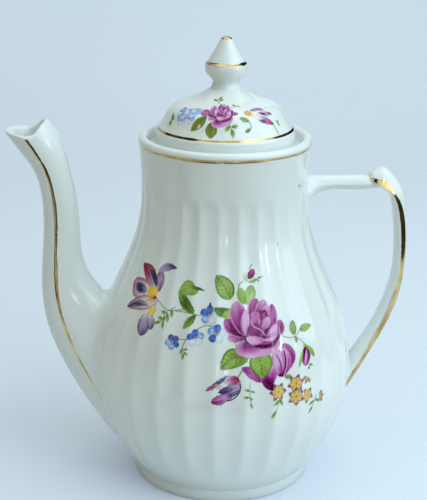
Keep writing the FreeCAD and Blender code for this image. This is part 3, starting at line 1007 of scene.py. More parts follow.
def dot(sheet, at, centre, half, inks):
    """A small round touch of the brush, shaded from its middle out."""
    part, x, y, size = around_place(sheet, at, np.abs(centre).max() + max(half) + 1.0)
    out = np.hypot((x - centre[0]) / half[0], (y - centre[1]) / half[1])
    lay(sheet, part, covered((1.0 - out) * min(half), size), shade(inks, out))


def paint(sheet, at, petals):
    for one in petals:
        petal(sheet, at, *one)


def draw(sheet, at, *marks):
    """Marks at one place, in order: each is a brush, then what it takes."""
    for brush, *what in marks:
        brush(sheet, at, *what)


# %% Leaves, sprigs and small flowers
MIDRIB, SIDE_VEINS = (0.02, 0.35, 0.65, 0.93), (0.20, 0.36, 0.52, 0.66, 0.79)
LEAF_EDGE, BIG_LEAF = (0.08, 0.35, 0.62, 0.9), 1.8


def leaf(sheet, at, base, tip, half, inks=GREEN, bend=0.0, fullest=0.45):
    base, tip = np.array(base, float), np.array(tip, float)
    petal(sheet, at, base, tip, half, inks, MOSS if half < 2.0 else LEAF, bend, fullest, 0.7)
    length = np.linalg.norm(tip - base)
    ahead = (tip - base) / length
    side = np.array((-ahead[1], ahead[0]))

    def spine(t):
        return base + ahead * length * t + side * bend * 4.0 * t * (1.0 - t)

    stroke(sheet, at, [spine(t) for t in MIDRIB], 0.14, MOSS)
    if half <= BIG_LEAF:
        return
    for k, t in enumerate(SIDE_VEINS):  # longer and shorter by turns
        for turn in (1.0, -1.0):
            far = half * (0.78 - 0.18 * ((k + (turn > 0.0)) % 2)) * math.sin(math.pi * t**0.8)
            end = spine(t) + ahead * half * 0.5 + side * turn * far
            stroke(sheet, at, [spine(t), end], 0.09, MOSS)
    for turn, strength in ((-1.0, 0.22), (1.0, 0.10)):  # one edge is heavier
        edge = [spine(t) + side * turn * half * 0.9 * math.sin(math.pi * t**0.87) ** 0.7
                for t in LEAF_EDGE]
        stroke(sheet, at, edge, strength, MOSS)


def sprig(sheet, at, stem_points, leaves, size=1.0):
    """A thin stem with small leaves: each leaf is where it starts and where it ends."""
    stalk(sheet, at, stem_points, 0.16)
    for base, tip in leaves:
        petal(sheet, at, base, tip, 0.62 * size, (MOSS, LEAF, LIME), LEAF, 0.0, 0.5, 0.9)


def all_round(count):
    """Unit steps outward, evenly round a flower."""
    turns = 2.0 * math.pi * np.arange(count) / count
    return np.column_stack([np.cos(turns), np.sin(turns)])


def forget_me_not(sheet, at, inks):
    """Five round petals, deep blue on one side and pale on the other."""
    for out, (main, ends, rim) in zip(all_round(5), inks):
        petal(sheet, at, out * 0.3, out * 4.4, 1.75, (ends, main, ends), rim, 0.0, 0.62, 0.5)
    stroke(sheet, at, [(0.4, 0.2), (1.9, 0.5)], 0.2, BLUE)
    dot(sheet, at, (0.1, 0.0), (0.75, 0.65), (BROWN, OCHRE))


BRIGHT, SOFT, MILKY = (BLUE, NAVY, BLUE), (SKY, BLUE, BLUE), (CREAM, SKY, SKY)
PURPLE = (ink(108, 104, 190), NAVY, VIOLET)
STAR = (YELLOW, OCHRE, OCHRE, MAUVE, BROWN)


def star_flower(sheet, at, petals=6):
    for out in all_round(petals):
        petal(sheet, at, out * 0.3, out * 4.7, 1.5, STAR, MAUVE, 0.0, 0.45, 0.85)
    dot(sheet, at, (0.0, 0.0), (0.9, 0.9), (BROWN, YELLOW))


# %% A full-blown rose: base, tip, half width, inks, rim, bend, fullest, point, veins
ROSE = [
    ((0.5, -3.0), (1.5, -12.8), 10.8, (WINE, WINE, MAGENTA, PINK, BLUSH, BLUSH), BLUSH, 0.0, 0.5,
     0.4, (14, MAGENTA, 0.5)),
    ((-3.6, -2.6), (-13.2, -3.8), 2.5, DEEP, BLUSH, 0.0, 0.55, 0.6),
    ((-4.4, -3.0), (-14.6, 5.0), 3.6, DUSK, BLUSH, 0.5, 0.6, 0.55, (3, WINE, 0.4)),
    ((-4.8, -3.0), (-8.6, 13.6), 4.1, DEEP, BLUSH, 0.9, 0.62, 0.5, (3, MAGENTA, 0.6)),
    ((-4.4, -2.0), (-5.4, 11.4), 1.5, (WINE, MAGENTA, MAGENTA, PINK), MAGENTA, 0.5, 0.5, 0.7),
    ((-1.6, 3.4), (2.0, 14.4), 3.2, RED, BLUSH, 0.3, 0.62, 0.5, (2, WINE, 0.4)),
    ((0.4, 4.6), (6.6, 13.2), 2.9, DEEP, BLUSH, -0.2, 0.62, 0.5),
    ((3.2, 4.6), (8.4, 10.8), 2.4, (MAGENTA, PINK, BLUSH), BLUSH, -0.3, 0.6, 0.6),
    ((8.2, -3.4), (10.2, 11.0), 2.5, (WINE, MAGENTA, PINK, MAGENTA), BLUSH, -0.4, 0.6, 0.5,
     (2, WINE, 0.4)),
    ((8.2, -5.8), (14.0, 2.8), 2.9, DUSK, BLUSH, -0.7, 0.6, 0.55, (2, WINE, 0.4)),
    ((1.5, -3.6), (3.8, 8.8), 5.7, (WINE, WINE, MAGENTA), WINE, 0.0, 0.5, 0.5),
    ((0.4, 0.4), (0.8, 8.4), 2.8, (MAGENTA, PINK, PINK), BLUSH, 0.2, 0.55, 0.5),
    ((3.6, 3.0), (5.8, 8.8), 2.1, (WINE, MAGENTA, WINE), MAGENTA, 0.0, 0.55, 0.6),
    ((4.1, 4.4), (5.5, 7.8), 0.7, (MAGENTA, PINK), WINE),
    ((3.1, -0.6), (7.4, 5.4), 2.4, (PINK, BLUSH), MAGENTA, -0.2, 0.6, 0.55),
    ((-4.4, -2.8), (-4.1, 9.4), 2.6, (PINK, BLUSH, BLUSH), PINK, 0.2, 0.52, 0.55),
    ((0.0, -4.6), (-0.2, 3.0), 4.3, (WINE, MAGENTA, MAGENTA), PINK, 0.0, 0.5, 0.45, (3, WINE, 0.4)),
    ((4.6, -4.0), (11.4, 1.2), 2.2, (MAGENTA, BLUSH, BLUSH), PINK, -0.5, 0.6, 0.55),
]
ROSE_LIP = [
    ((-4.6, -3.6), (4.2, -5.2), 2.1, (BLUSH, BLUSH, PINK), PINK, -0.9, 0.45, 0.55, (2, PINK, 0.6)),
    ((3.0, -5.0), (11.8, -2.2), 1.1, (BLUSH, BLUSH, PINK), PINK, -1.3, 0.5, 0.7),
]


def rose(sheet, at):
    draw(sheet, at,
         (paint, ROSE),
         (stroke, [(-5.4, -3.2), (-3.4, -6.2), (1.6, -8.0), (7.2, -7.4), (11.2, -5.0)], 0.75, WINE),
         (stroke, [(2.0, -9.0), (6.0, -8.8), (9.6, -7.4)], 0.3, MAGENTA),
         (paint, ROSE_LIP),
         (stroke, [(-1.8, 4.6), (-0.6, 1.4), (2.8, -0.6), (4.2, -2.8)], 0.24, BLUSH),
         (stroke, [(-1.9, 8.4), (-2.2, 3.4), (-4.4, -2.6)], 0.28, WINE))


# %% The iris, as the rose
IRIS = [
    ((3.4, 0.2), (4.4, 11.8), 2.4, (MAUVE, LILAC, MAUVE), CRIMSON, -0.3, 0.5, 0.8, (3, PLUM, 0.7)),
    ((3.2, 10.6), (15.0, 10.6), 2.0, (LILAC, LILAC, VIOLET, PLUM), LILAC, 1.2, 0.4, 0.8,
     (4, PLUM, 0.8)),
    ((2.8, 0.8), (-8.8, 15.2), 3.9, (CREAM, LILAC, CRIMSON, BLOOD), CRIMSON, -0.9, 0.48, 0.85,
     (2, PLUM, 0.5)),
    ((2.4, 2.6), (-4.4, 12.0), 1.7, (VIOLET, PLUM, VIOLET), VIOLET, -1.6, 0.5, 0.8, (3, PLUM, 1.0)),
    ((1.4, -1.0), (-15.4, 6.0), 5.0, (CREAM, CREAM, LILAC, CRIMSON), CRIMSON, 0.6, 0.58, 0.5),
    ((-4.0, 0.8), (-12.0, 5.4), 2.6, (LILAC, PLUM, VIOLET), LILAC, 0.6, 0.5, 0.6, (3, PLUM, 0.8)),
    ((3.0, -4.2), (-16.4, -6.2), 3.6, (BLUSH, CREAM, LILAC, BLOOD), CRIMSON, -0.7, 0.45, 0.75,
     (3, MAUVE, 0.7)),
    ((-1.0, -6.0), (-15.4, -6.6), 1.5, (LILAC, PLUM, PLUM), VIOLET, -1.6, 0.5, 0.8,
     (3, CREAM, 0.6)),
    ((0.6, -5.2), (-3.4, -12.0), 0.9, (OCHRE, YELLOW, YELLOW), OCHRE, 0.3, 0.5, 0.7),
    ((2.2, -5.6), (-0.6, -12.2), 0.8, (OCHRE, YELLOW, YELLOW), OCHRE, 0.2, 0.5, 0.7),
    ((-2.6, -9.4), (-5.6, -20.0), 3.3, (CREAM, LILAC, VIOLET), PLUM, -0.4, 0.55, 0.6,
     (4, PLUM, 1.0)),
    ((-1.4, -9.8), (-0.8, -17.4), 2.0, (CREAM, LILAC, VIOLET), PLUM, 0.5, 0.55, 0.6,
     (3, PLUM, 1.0)),
]

# %% The second rose and the tulip, as the rose
SECOND_ROSE = [
    ((-9.8, -9.2), (-19.8, -2.6), 2.5, (MAGENTA, PINK, MAGENTA), PINK, -0.9, 0.5, 0.6,
     (3, WINE, 0.5)),
    ((3.4, -4.0), (1.4, 9.4), 3.5, RED, PINK, -1.6, 0.6, 0.5, (3, WINE, 0.5)),
    ((1.0, -6.6), (0.8, 7.4), 2.9, (MAGENTA, PINK, BLUSH), PINK, -1.7, 0.55, 0.55,
     (2, MAGENTA, 0.5)),
    ((-0.6, -5.6), (-3.4, 6.8), 3.6, (MAGENTA, BLUSH, BLUSH), PINK, 0.0, 0.55, 0.5, (2, PINK, 0.6)),
    ((-5.8, -12.2), (-4.4, -0.6), 2.9, (WINE, MAGENTA, PINK, BLUSH), PINK, 0.4, 0.6, 0.55,
     (3, MAGENTA, 0.5)),
    ((-3.6, -12.6), (-9.6, -5.6), 2.4, DUSK, MAGENTA, 0.0, 0.5, 0.6, (2, WINE, 0.5)),
    ((0.6, -6.4), (-3.4, -2.0), 1.4, (WINE, PINK, BLUSH), MAGENTA, 0.0, 0.5, 0.6),
]
TULIP = [
    ((7.4, 3.0), (-5.0, 2.0), 3.7, (PINK, ROSY, CREAM, ROSY), LILAC, 0.0, 0.42, 0.5,
     (3, VIOLET, 0.4)),
    ((7.4, 1.4), (-0.8, -5.8), 3.0, (ROSY, LILAC, LILAC), VIOLET, -1.2, 0.5, 0.55,
     (3, VIOLET, 0.7)),
    ((6.9, 4.6), (1.4, 3.4), 2.0, (BLOOD, CRIMSON, PINK, BLUSH), None, 0.0, 0.45, 0.7),
    ((1.2, 6.4), (-5.9, 2.2), 1.0, (PLUM, VIOLET, PLUM), PLUM, 0.7, 0.6, 0.8, (2, SKY, 0.6)),
    ((-3.4, 2.6), (-9.0, -1.1), 1.0, (OCHRE, MAUVE, PINK, PLUM), MAUVE, 0.0, 0.5, 0.8),
    ((5.4, 0.3), (-3.2, -1.6), 1.6, (LILAC, VIOLET, PLUM), VIOLET, 0.0, 0.6, 0.8, (3, PLUM, 0.8)),
    ((5.0, -1.5), (-2.5, -3.0), 0.8, (LILAC, VIOLET, PLUM), PLUM, 0.0, 0.6, 0.8),
    ((3.8, -2.6), (-6.4, -6.4), 2.4, (VIOLET, ROSY, PINK, MAGENTA), MAUVE, 0.3, 0.6, 0.65,
     (2, MAGENTA, 0.5)),
]

# %% The purple flower on the lid, as the rose
LID_FLAG = [
    ((-1.4, 2.0), (7.4, 4.2), 1.3, (VIOLET, LILAC, PINK, PINK), VIOLET, 0.7, 0.55, 0.7,
     (2, VIOLET, 0.5)),
    ((-1.6, 0.4), (9.4, 1.0), 2.1, (CREAM, CREAM, PINK), LILAC, 0.4, 0.6, 0.65),
    ((2.6, 1.2), (7.4, 0.4), 0.9, (VIOLET, PLUM, VIOLET), LILAC, 0.0, 0.5, 0.7),
    ((-1.2, -0.8), (9.6, -4.2), 1.9, (CREAM, CREAM, PINK, CRIMSON), LILAC, 0.2, 0.65, 0.65),
    ((2.2, -3.4), (6.6, -3.6), 0.9, (LILAC, PLUM, VIOLET), VIOLET, 0.0, 0.5, 0.7),
    ((6.4, -3.2), (10.2, -4.4), 0.9, (PINK, CRIMSON, BLOOD), CRIMSON, 0.0, 0.55, 0.7),
    ((7.8, 2.2), (10.6, 0.6), 0.6, (VIOLET, PLUM), PLUM),
]
print("strokes: rose", len(ROSE + ROSE_LIP), "iris", len(IRIS), "tulip", len(TULIP))

# %% The ink's material and cutting a film out
print_ink, print_tree, print_shader = new_material("flower_print_in_glaze")
print_glaze = glaze_nodes(print_shader)
pigment = node(print_tree, "Attribute", attribute_name="print").outputs
grain = noise(object_place(print_tree), scale=900.0, detail=2.0)
thick = between(grain, to_min=0.90, to_max=1.12)
strength = maths("MULTIPLY", pigment["Alpha"], thick, use_clamp=True)
feed(print_shader, {
    "Base Color": blend(strength, print_glaze, pigment["Color"]),
    "Specular IOR Level": 0.28,
})
FILM_SUNK = 0.03


def film(name, body, sheet, radius_at, proud):
    """Cuts a painted sheet out and lays it on the clay."""
    turn, height = np.meshgrid(sheet["turn"] - math.pi / 2.0, sheet["height"])
    piece = clay_sheet(name, about_axis(radius_at(height, turn) + proud, turn, height))
    layer = piece.data.color_attributes.new("print", "FLOAT_COLOR", "POINT")
    cover = sheet["cover"].reshape(-1, 1)
    colours = np.hstack([sheet["ink"].reshape(-1, 3), cover]).astype(np.float32)
    layer.data.foreach_set("color", colours.ravel())
    corners = np.zeros(len(piece.data.loops), int)
    piece.data.loops.foreach_get("vertex_index", corners)
    bare = cover[corners, 0].reshape(-1, 4).max(axis=1) < BARE

    def cut_out():
        select_only(piece, "polygons", bare)
        bpy.ops.mesh.select_mode(type="FACE")
        bpy.ops.mesh.delete(type="FACE")
        bpy.ops.mesh.select_mode(type="VERT")

    in_edit_mode(piece, cut_out)
    apply_modifier(piece, "SOLIDIFY", thickness=(proud + FILM_SUNK) * MM, offset=-1.0)
    dress(piece, body, "flower_print", print_ink)


# %% Left part of the spray: iris, curled leaf and forget-me-nots
BODY_LEAN, BODY_CELL = 0.36, 0.28
left = film_sheet(wall_line, 78.0, 126.0, -66.0, 2.0, BODY_LEAN, BODY_CELL)
draw(left, (-44.4, 106.4),
     (stalk, [(2.5, -2.8), (5.0, -5.6), (9.0, -8.6), (14.0, -9.2), (21.5, -8.8)]),
     (paint, IRIS),
     (dot, (-0.2, 0.9), (3.2, 3.0), (YELLOW, YELLOW, OCHRE)),
     (dot, (0.2, -2.2), (2.3, 1.8), (ORANGE, OCHRE)),
     (dot, (1.5, -2.2), (0.9, 0.8), (BLOOD, CRIMSON)))
draw(left, (-22.4, 110.4),
     (stalk, [(5.0, -11.4), (0.0, -9.8), (-6.0, -9.2)]),
     (leaf, (2.4, -10.2), (-4.6, 1.0), 2.4, (LEAF, MOSS, LIME), 0.9),
     (petal, (-5.4, -0.8), (4.6, 0.4), 3.6, GREEN, LEAF, 2.0, 0.56, 0.55),
     (petal, (1.2, 2.6), (8.0, 0.0), 0.8, (LEAF, MOSS, MOSS), MOSS, 0.0, 0.35, 0.9),
     (leaf, (3.0, -10.8), (-2.8, -17.4), 1.6, (MOSS, LEAF, LIME)))
sprig(left, (-32.2, 97.6), [(4.6, 5.0), (0.4, 3.2), (-2.4, -0.6), (-6.2, -2.8)],
      [((2.8, 4.4), (2.8, 0.2)), ((0.6, 3.2), (0.9, -2.0)), ((0.0, 2.6), (-3.2, 3.4)),
       ((-1.6, -0.2), (-1.9, -5.2)), ((-2.0, -0.2), (-5.0, 0.6)), ((-3.0, -1.6), (-7.4, -2.4)),
       ((-0.6, 1.4), (-2.0, -2.2))], 1.3)
draw(left, (-16.0, 91.2),
     (stalk, [(9.0, 5.0), (5.0, 5.6), (0.8, 3.8), (-4.0, -0.2), (-6.0, -3.6), (-6.6, -7.6)], 0.22),
     (stalk, [(-4.6, -0.6), (-8.4, -0.8)]),
     (sprig, [(-6.2, -4.4), (-5.4, -7.2), (-5.8, -9.6)],
      [((-6.2, -5.0), (-7.6, -7.6)), ((-5.8, -6.2), (-3.6, -7.8)),
       ((-5.6, -7.0), (-6.4, -10.2)), ((-5.6, -5.4), (-3.4, -5.0))], 0.9))
forget_me_not(left, (-27.0, 87.9, 0.85, 110.0), [PURPLE, SOFT, SOFT, BRIGHT, PURPLE])
forget_me_not(left, (-16.0, 91.2, 0.95, 20.0), [SOFT, BRIGHT, BRIGHT, MILKY, MILKY])
forget_me_not(left, (-10.1, 101.2, 1.05, 10.0), [MILKY, BRIGHT, BRIGHT, SOFT, MILKY])
stroke(left, (-10.1, 101.2), [(0.2, 4.6), (0.5, 5.4)], 0.5, PLUM)
forget_me_not(left, (-6.1, 93.3, 1.05, 10.0), [MILKY, BRIGHT, SOFT, BRIGHT, MILKY])
film("body_flowers_left", "pot", left, wall_radius, 0.035)

# %% Leaves and roses in the middle of the spray
right = film_sheet(wall_line, 49.0, 126.0, -14.0, 50.0, BODY_LEAN, BODY_CELL)
stalk(right, (12.7, 118.6), [(-5.6, -7.0), (-5.2, -4.6), (-3.4, -3.2)])
leaf(right, (-2.0, 113.1), (2.2, -5.4), (-4.4, 6.0), 4.2, GREEN, -0.6, 0.42)
draw(right, (9.2, 110.1),
     (petal, (-1.0, -4.4), (-2.8, 3.2), 2.0, (LEAF, LIME), LEAF, 0.4, 0.55, 0.5),
     (petal, (0.2, -4.6), (2.8, 4.2), 2.7, (LIME, LIME, LEAF), LEAF, -0.4, 0.55, 0.5,
      (3, CREAM, 0.6)),
     (stroke, [(0.0, -4.6), (-0.6, -1.2)], 0.16, MOSS))
draw(right, (-2.7, 103.5),
     (petal, (4.2, -0.6), (-4.9, 0.8), 2.3, (LEAF, MOSS, LEAF), LEAF, 1.2, 0.5, 0.55),
     (petal, (4.4, -2.8), (-1.0, -2.6), 2.1, (ORANGE, LIME, LEAF), LIME, -0.4, 0.5, 0.55),
     (stroke, [(-4.4, 0.6), (-1.6, 1.0), (1.2, -0.6)], 0.2, MOSS))
draw(right, (12.7, 118.6),
     (petal, (-0.9, -2.4), (1.6, 2.4), 1.7, RED, MAGENTA, 0.0, 0.5, 0.6, (2, WINE, 0.7)),
     (petal, (-1.4, -3.6), (-3.2, 0.8), 0.9, (LIME, CREAM), LEAF, 0.3),
     (petal, (-1.4, -3.6), (3.0, -2.2), 0.8, (LIME, LEAF), LEAF, -0.5),
     (stroke, [(-0.2, 1.8), (-0.2, 3.2), (0.9, 4.4)], 0.16, PLUM),
     (sprig, [(2.4, -2.4), (5.8, -1.0)],
      [((2.8, -2.2), (4.0, -3.4)), ((3.4, -2.0), (5.2, -1.0))], 0.8))
stalk(right, (4.0, 88.0), [(-5.0, 5.0), (-1.0, 0.6), (1.0, -3.0)])
draw(right, (23.8, 78.5),
     (paint, SECOND_ROSE),
     (stroke, [(-3.2, 4.0), (-1.0, 0.6), (0.6, -6.0)], 0.26, WINE),
     (stroke, [(1.2, 5.6), (2.2, -0.2), (1.0, -5.6)], 0.4, WINE),
     (stroke, [(2.0, 6.0), (3.0, -0.2), (1.6, -5.8)], 0.22, BLUSH),
     (stroke, [(-8.2, -8.0), (-6.0, -9.6), (-3.8, -9.8)], 0.5, WINE),
     (dot, (-0.6, -5.4), (0.9, 0.6), (WINE, WINE)))
leaf(right, (2.4, 83.0), (6.4, 0.2), (-6.8, -5.2), 4.6, (LEAF, LEAF, LIME, LEAF), -2.4, 0.5)
leaf(right, (13.6, 79.6), (-0.6, 6.8), (1.2, -6.4), 5.7)
rose(right, (12.4, 94.9, 1.0, 4.0))

# %% Tulip, buds, sprigs and star flowers below them
draw(right, (-2.1, 68.9),
     (stalk, [(6.3, 5.5), (8.4, 8.8)], 0.28),
     (paint, TULIP),
     (stroke, [(7.3, 2.2), (7.2, -0.4), (5.7, -3.3), (3.3, -5.3), (1.4, -5.9)], 0.32, PLUM),
     (stroke, [(6.2, -1.0), (3.5, -2.2)], 0.2, PLUM),
     (stroke, [(6.2, -2.2), (1.6, -3.7)], 0.26, PLUM),
     (stroke, [(-6.1, -6.3), (-3.5, -6.2), (-1.0, -5.6)], 0.2, WINE),
     (stroke, [(-1.2, -6.7), (-1.9, -8.0)], 0.2, VIOLET))
sprig(right, (8.3, 65.4), [(0.2, 6.0), (0.2, 0.0), (1.6, -6.2)],
      [((0.2, 2.0), (3.0, 1.2)), ((0.2, 2.0), (-2.4, 3.0)), ((0.2, -1.0), (-3.0, -0.8)),
       ((0.2, -1.0), (1.8, -2.6)), ((0.8, -3.8), (2.0, -6.8))])
draw(right, (32.7, 89.5),
     (stalk, [(-6.6, -0.4), (-2.4, -0.8), (0.4, 0.4), (3.0, 2.8)], 0.18),
     (stalk, [(0.6, -1.2), (2.6, -1.6), (5.0, -3.6)], 0.18),
     (leaf, (-0.9, 0.5), (-1.8, 7.6), 1.9, (LEAF, LIME, LIME)),
     (leaf, (2.9, 2.6), (10.4, 5.0), 1.8, (LEAF, LIME, LIME)),
     (leaf, (-0.2, 0.2), (0.8, -3.2), 0.9, (LEAF, LIME)))
draw(right, (36.9, 79.1),
     (petal, (-1.4, 6.6), (1.2, 2.4), 1.2, (LIME, LEAF), LEAF),
     (petal, (0.0, 4.4), (0.4, -4.6), 3.1, RED, MAGENTA, 0.0, 0.5, 0.55, (2, WINE, 0.8)),
     (petal, (0.6, 3.6), (-0.4, -4.0), 0.8, (BLUSH, BLUSH), PINK, 0.4),
     (petal, (0.8, 5.4), (5.6, -0.2), 1.1, (LIME, LEAF), LEAF, 0.4),
     (petal, (-1.8, 3.8), (-4.2, -5.0), 0.9, (LIME, LIME, LEAF), LEAF, 0.0, 0.6),
     (sprig, [(2.0, -2.6), (3.2, -5.4)],
      [((2.8, -3.6), (5.2, -4.4)), ((3.0, -4.4), (2.4, -6.6))]))
leaf(right, (26.6, 71.6), (-2.0, 0.0), (2.0, 0.2), 1.2, (LEAF, LIME))
sprig(right, (21.2, 59.8), [(0.4, 3.0), (0.0, -1.0), (-1.8, -7.4)],
      [((0.2, 2.0), (3.0, -1.4)), ((0.2, 1.6), (-2.2, -1.2)), ((-0.8, -3.6), (-2.4, -7.8))], 1.4)
sprig(right, (40.4, 55.4), [(0.6, 3.6), (0.0, -0.6), (-1.2, -5.8)],
      [((0.4, 1.6), (3.6, 0.4)), ((0.2, 1.0), (-3.0, -2.0)), ((-0.2, -2.0), (-1.4, -6.2))], 1.2)
star_flower(right, (30.1, 67.6, 1.0, 80.0))
star_flower(right, (30.0, 61.4, 1.0, 40.0))
star_flower(right, (21.2, 65.5, 1.0, 65.0))
star_flower(right, (36.2, 60.2, 0.9, 60.0), 5)
for at, turn in (((36.8, 69.0), 250.0), ((43.3, 57.4), 20.0)):
    for lean in (-60.0, 0.0, 60.0):
        a = math.radians(turn + lean)
        tip_of_petal = (3.4 * math.cos(a), 3.4 * math.sin(a))
        petal(right, at, (0.0, 0.0), tip_of_petal, 0.9, (OCHRE, MAUVE), MAUVE)
film("body_flowers_right", "pot", right, wall_radius, 0.06)

# %% The smaller spray on the lid
LID_LEAN, LID_CELL = 0.6, 0.22
top = film_sheet(dome_line, 179.4, 195.6, -70.0, 62.0, LID_LEAN, LID_CELL)
sprig(top, (-65.6, 185.4), [(0.8, 3.0), (0.0, 0.0), (-1.0, -3.4)],
      [((0.6, 2.6), (0.4, -1.0)), ((0.2, 0.4), (1.6, -2.2)), ((-0.4, -0.8), (-1.6, -4.4))], 1.5)
for at, half in (((-51.0, 187.8), (4.0, 3.2)), ((-43.0, 188.6), (4.2, 3.0)),
                 ((-37.0, 189.6), (2.6, 1.8))):
    dot(top, at, (0.0, 0.0), half, (SKY, SKY))
for inks, *at in (
        (SOFT, -54.0, 188.0, 0.62, 0.0), (SOFT, -45.0, 189.4, 0.66, 40.0),
        (MILKY, -50.0, 185.4, 0.60, 75.0), (SOFT, -38.0, 190.0, 0.60, 20.0),
        (MILKY, -41.0, 186.8, 0.62, 60.0), (BRIGHT, -58.0, 189.6, 0.45, 10.0)):
    forget_me_not(top, at, [inks, SOFT, MILKY, inks, SOFT])
sprig(top, (-22.0, 194.2), [(1.0, -3.4), (0.6, -0.6), (2.6, 1.0)],
      [((0.4, -1.4), (-1.8, 0.4)), ((0.8, -0.4), (3.0, 1.6)), ((0.8, -1.6), (3.2, -0.4))], 1.1)
for at, base, tip, half in (((-29.6, 185.7), (4.4, 3.0), (-3.8, -3.2), 2.5),
                            ((-16.0, 183.2), (0.6, 4.0), (-0.6, -4.2), 2.8)):
    petal(top, at, base, tip, half, (MOSS, OLIVE, OLIVE), OLIVE, 0.0, 0.5, 0.7, (2, MOSS, 0.7))
    stroke(top, at, [base, tip], 0.12, MOSS)
draw(top, (-9.6, 190.2),
     (petal, (-4.2, -0.2), (-9.0, 0.4), 2.5, (*RED, PINK), MAGENTA, 0.0, 0.6, 0.5),
     (petal, (4.0, -1.4), (8.2, -1.6), 1.3, RED, PINK))
rose(top, (-9.0, 189.8, 0.43, 6.0, 1.35))
sprig(top, (2.0, 183.6), [(-0.8, 3.0), (0.0, 0.0), (0.4, -2.0)],
      [((-0.4, 2.0), (-3.0, -1.2)), ((0.0, 1.0), (3.2, 1.8)), ((0.2, 0.4), (0.8, -4.2))], 1.6)
leaf(top, (15.4, 187.4), (2.2, -0.6), (-2.4, 1.0), 1.3, (LEAF, LIME))
stalk(top, (18.0, 184.8), [(0.4, 2.6), (1.4, -0.4), (0.2, -2.8)])
leaf(top, (18.0, 183.4), (0.8, 0.2), (-1.6, -1.8), 0.9, (LEAF, LEAF))
sprig(top, (12.0, 192.0), [(-3.4, -2.6), (0.0, 0.4)],
      [((-0.4, 0.2), (-1.8, 1.8)), ((0.0, 0.4), (2.0, 0.0))])
draw(top, (27.4, 189.4),
     (stroke, [(9.6, -4.2), (11.0, -6.6), (12.0, -10.0)], 0.22, LEAF),
     (paint, LID_FLAG),
     (dot, (-1.2, -0.2), (2.6, 2.2), (OCHRE, CREAM)),
     (dot, (-2.6, 0.2), (1.7, 1.8), (OCHRE, ORANGE)))
sprig(top, (52.0, 183.4), [(-1.6, 1.6), (1.0, 1.0)],
      [((-0.6, 1.4), (1.4, 2.4)), ((0.0, 1.0), (2.0, 0.0))], 0.9)
film("lid_flowers", "lid", top,
     lambda height, _: np.interp(height, dome_line[:, 1], dome_line[:, 0]), 0.035)

# %% [markdown]
# ## Table, light and camera
# A plain pale sweep stands for the table and the wall behind it. Gold shows what lies round it,
# so the table ends a hand's breadth in front, out of the picture, and the dim room lies beyond.
# A wide soft lamp high on the right and a smaller one in front stand for windows, a third for
# the ceiling, small bright panes give the streaks and dots in the glaze, a low card lights the
# spout's gold, and weak warm lamps fill the left. The camera was worked out from the round
# edges of foot, rim and lid: about 65 cm away and 18 degrees above level.

# %% Table and backdrop in one sweep
TABLE_LEFT, TABLE_RIGHT, TABLE_FRONT, TABLE_BACK = -1.2, 0.40, -0.17, 1.1
BACKDROP_H, SWEEP_R, PAPER_GLOW = 1.6, 0.5, 0.18
bpy.ops.mesh.primitive_plane_add(size=1.0, location=(
    (TABLE_LEFT + TABLE_RIGHT) / 2, (TABLE_FRONT + TABLE_BACK) / 2, 0))
sweep = bpy.context.active_object
sweep.name = "table_sweep"
sweep.scale = (TABLE_RIGHT - TABLE_LEFT, TABLE_BACK - TABLE_FRONT, 1.0)
bpy.ops.object.transform_apply(location=True, rotation=False, scale=True)
at_back = [all(sweep.data.vertices[i].co.y > 0.0 for i in edge.vertices)
           for edge in sweep.data.edges]


def raise_back():
    select_only(sweep, "edges", at_back)
    bpy.ops.mesh.extrude_region_move(TRANSFORM_OT_translate={"value": (0, 0, BACKDROP_H)})
    bpy.ops.mesh.select_all(action="SELECT")


in_edit_mode(sweep, raise_back)
apply_modifier(sweep, "BEVEL", width=SWEEP_R, segments=12, limit_method="ANGLE")
smooth_faces(sweep, 60)
paper, paper_tree, paper_shader = new_material("pale_table_paper")
rays = node(paper_tree, "LightPath").outputs
seen = rays["Is Camera Ray"]
for kind in ("Is Glossy Ray", "Is Transmission Ray"):
    seen = maths("MAXIMUM", seen, rays[kind])
clouds = noise(object_place(paper_tree), scale=3.0, detail=2.0)
feed(paper_shader, {
    "Base Color": ramp(clouds, (0.3, (0.635, 0.695, 0.745)), (0.7, (0.66, 0.72, 0.77))),
    "Emission Strength": maths("MULTIPLY", seen, PAPER_GLOW),
    "Emission Color": (0.60, 0.68, 1.0, 1.0),
    "Roughness": 0.7,
})
sweep.data.materials.append(paper)
print("table of", len(sweep.data.polygons), "faces")


# %% Soft lamps and the dim light of the room: place, aim, size in metres, watts, colour
def lamp(name, place, aim, size, watts, colour):
    data = bpy.data.lights.new(name, "AREA")
    data.shape = "RECTANGLE"
    data.size, data.size_y = size
    data.energy = watts
    data.color = colour
    made = bpy.data.objects.new(name, data)
    bpy.context.scene.collection.objects.link(made)
    made.location = place
    made.rotation_euler = (Vector(aim) - Vector(place)).to_track_quat("-Z", "Y").to_euler()


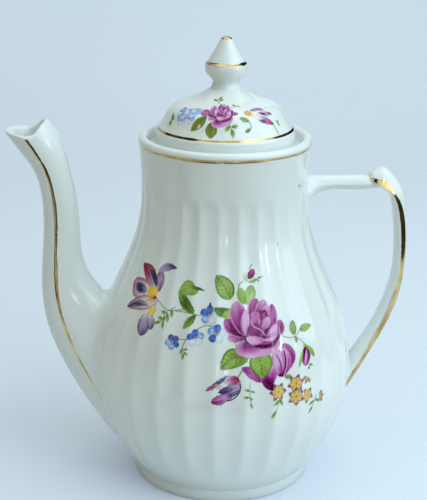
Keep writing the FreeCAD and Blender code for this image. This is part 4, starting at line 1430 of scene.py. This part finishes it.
DAY = (0.92, 1.0, 1.0)
lamp("window_right", (0.92, -0.46, 0.80), (0, 0, 0.10), (1.4, 1.4), 12.8, (0.69, 0.885, 1.0))
lamp("window_front", (0.35, -1.05, 0.80), (0, 0, 0.14), (0.7, 0.7), 2.6, (0.62, 0.86, 1.0))
lamp("ceiling", (0.0, 0.1, 1.3), (0, 0, 0.1), (1.5, 1.5), 8.4, (0.84, 0.97, 1.0))
lamp("pane_right", (0.98, -0.58, 0.30), (0, 0, 0.15), (0.05, 0.22), 0.50, DAY)
lamp("pane_high", (0.62, -0.80, 0.62), (0, 0, 0.18), (0.07, 0.07), 0.22, DAY)
lamp("pane_front", (0.19, -1.25, 0.15), (0, 0, 0.12), (0.12, 0.12), 0.24, DAY)
lamp("card_left", (-0.30, -0.55, 0.04), (-0.085, -0.01, 0.10), (0.50, 0.30), 0.22,
     (0.92, 0.98, 1.0))
lamp("bulb_left", (-0.85, -0.50, 0.90), (0, 0, 0.15), (0.05, 0.05), 0.25, (1.0, 1.0, 0.95))
lamp("room_left", (-1.0, 0.05, 0.38), (0, 0, 0.10), (0.8, 1.0), 0.35, (1.0, 0.93, 0.66))

ROOM_COLOUR, ROOM_LIGHT, ROOM_MIRRORED = (0.94, 0.88, 0.62, 1.0), 0.25, 0.05
world = bpy.data.worlds.new("dim_room")
bpy.context.scene.world = world
world.use_nodes = True
mirrored = node(world.node_tree, "LightPath").outputs["Is Glossy Ray"]
feed(world.node_tree.nodes["Background"], {
    "Color": ROOM_COLOUR,
    "Strength": between(mirrored, to_min=ROOM_LIGHT, to_max=ROOM_MIRRORED),
})
print("lamps:", sorted(light.name for light in bpy.data.lights))

# %% Camera
FOCAL_PX, PHOTO_PX, SENSOR = 1318.8, 500.0, 36.0
PITCH, ROLL, TURN = 0.31487, 0.01147, math.radians(2.9)
DISTANCE, AIM_SIDE, AIM_UP = 0.6544, -0.00507, 0.11586
level = Vector((math.cos(TURN), -math.sin(TURN), 0.0))
ahead = Vector((math.sin(TURN) * math.cos(PITCH), math.cos(TURN) * math.cos(PITCH),
                -math.sin(PITCH)))
upright = level.cross(ahead)
sideways = level * math.cos(ROLL) + upright * math.sin(ROLL)
upright = upright * math.cos(ROLL) - level * math.sin(ROLL)
camera_data = bpy.data.cameras.new("photo_camera")
camera_data.sensor_width = SENSOR
camera_data.lens = SENSOR * FOCAL_PX / PHOTO_PX
camera_data.clip_start = 0.02
camera = bpy.data.objects.new("photo_camera", camera_data)
bpy.context.scene.collection.objects.link(camera)
place = Matrix((sideways, upright, -ahead)).transposed().to_4x4()
place.translation = level * AIM_SIDE + Vector((0.0, 0.0, AIM_UP)) - ahead * DISTANCE
camera.matrix_world = place
bpy.context.scene.camera = camera
bpy.context.scene.view_settings.view_transform = "Standard"
print("camera at", [round(c, 4) for c in camera.matrix_world.translation])
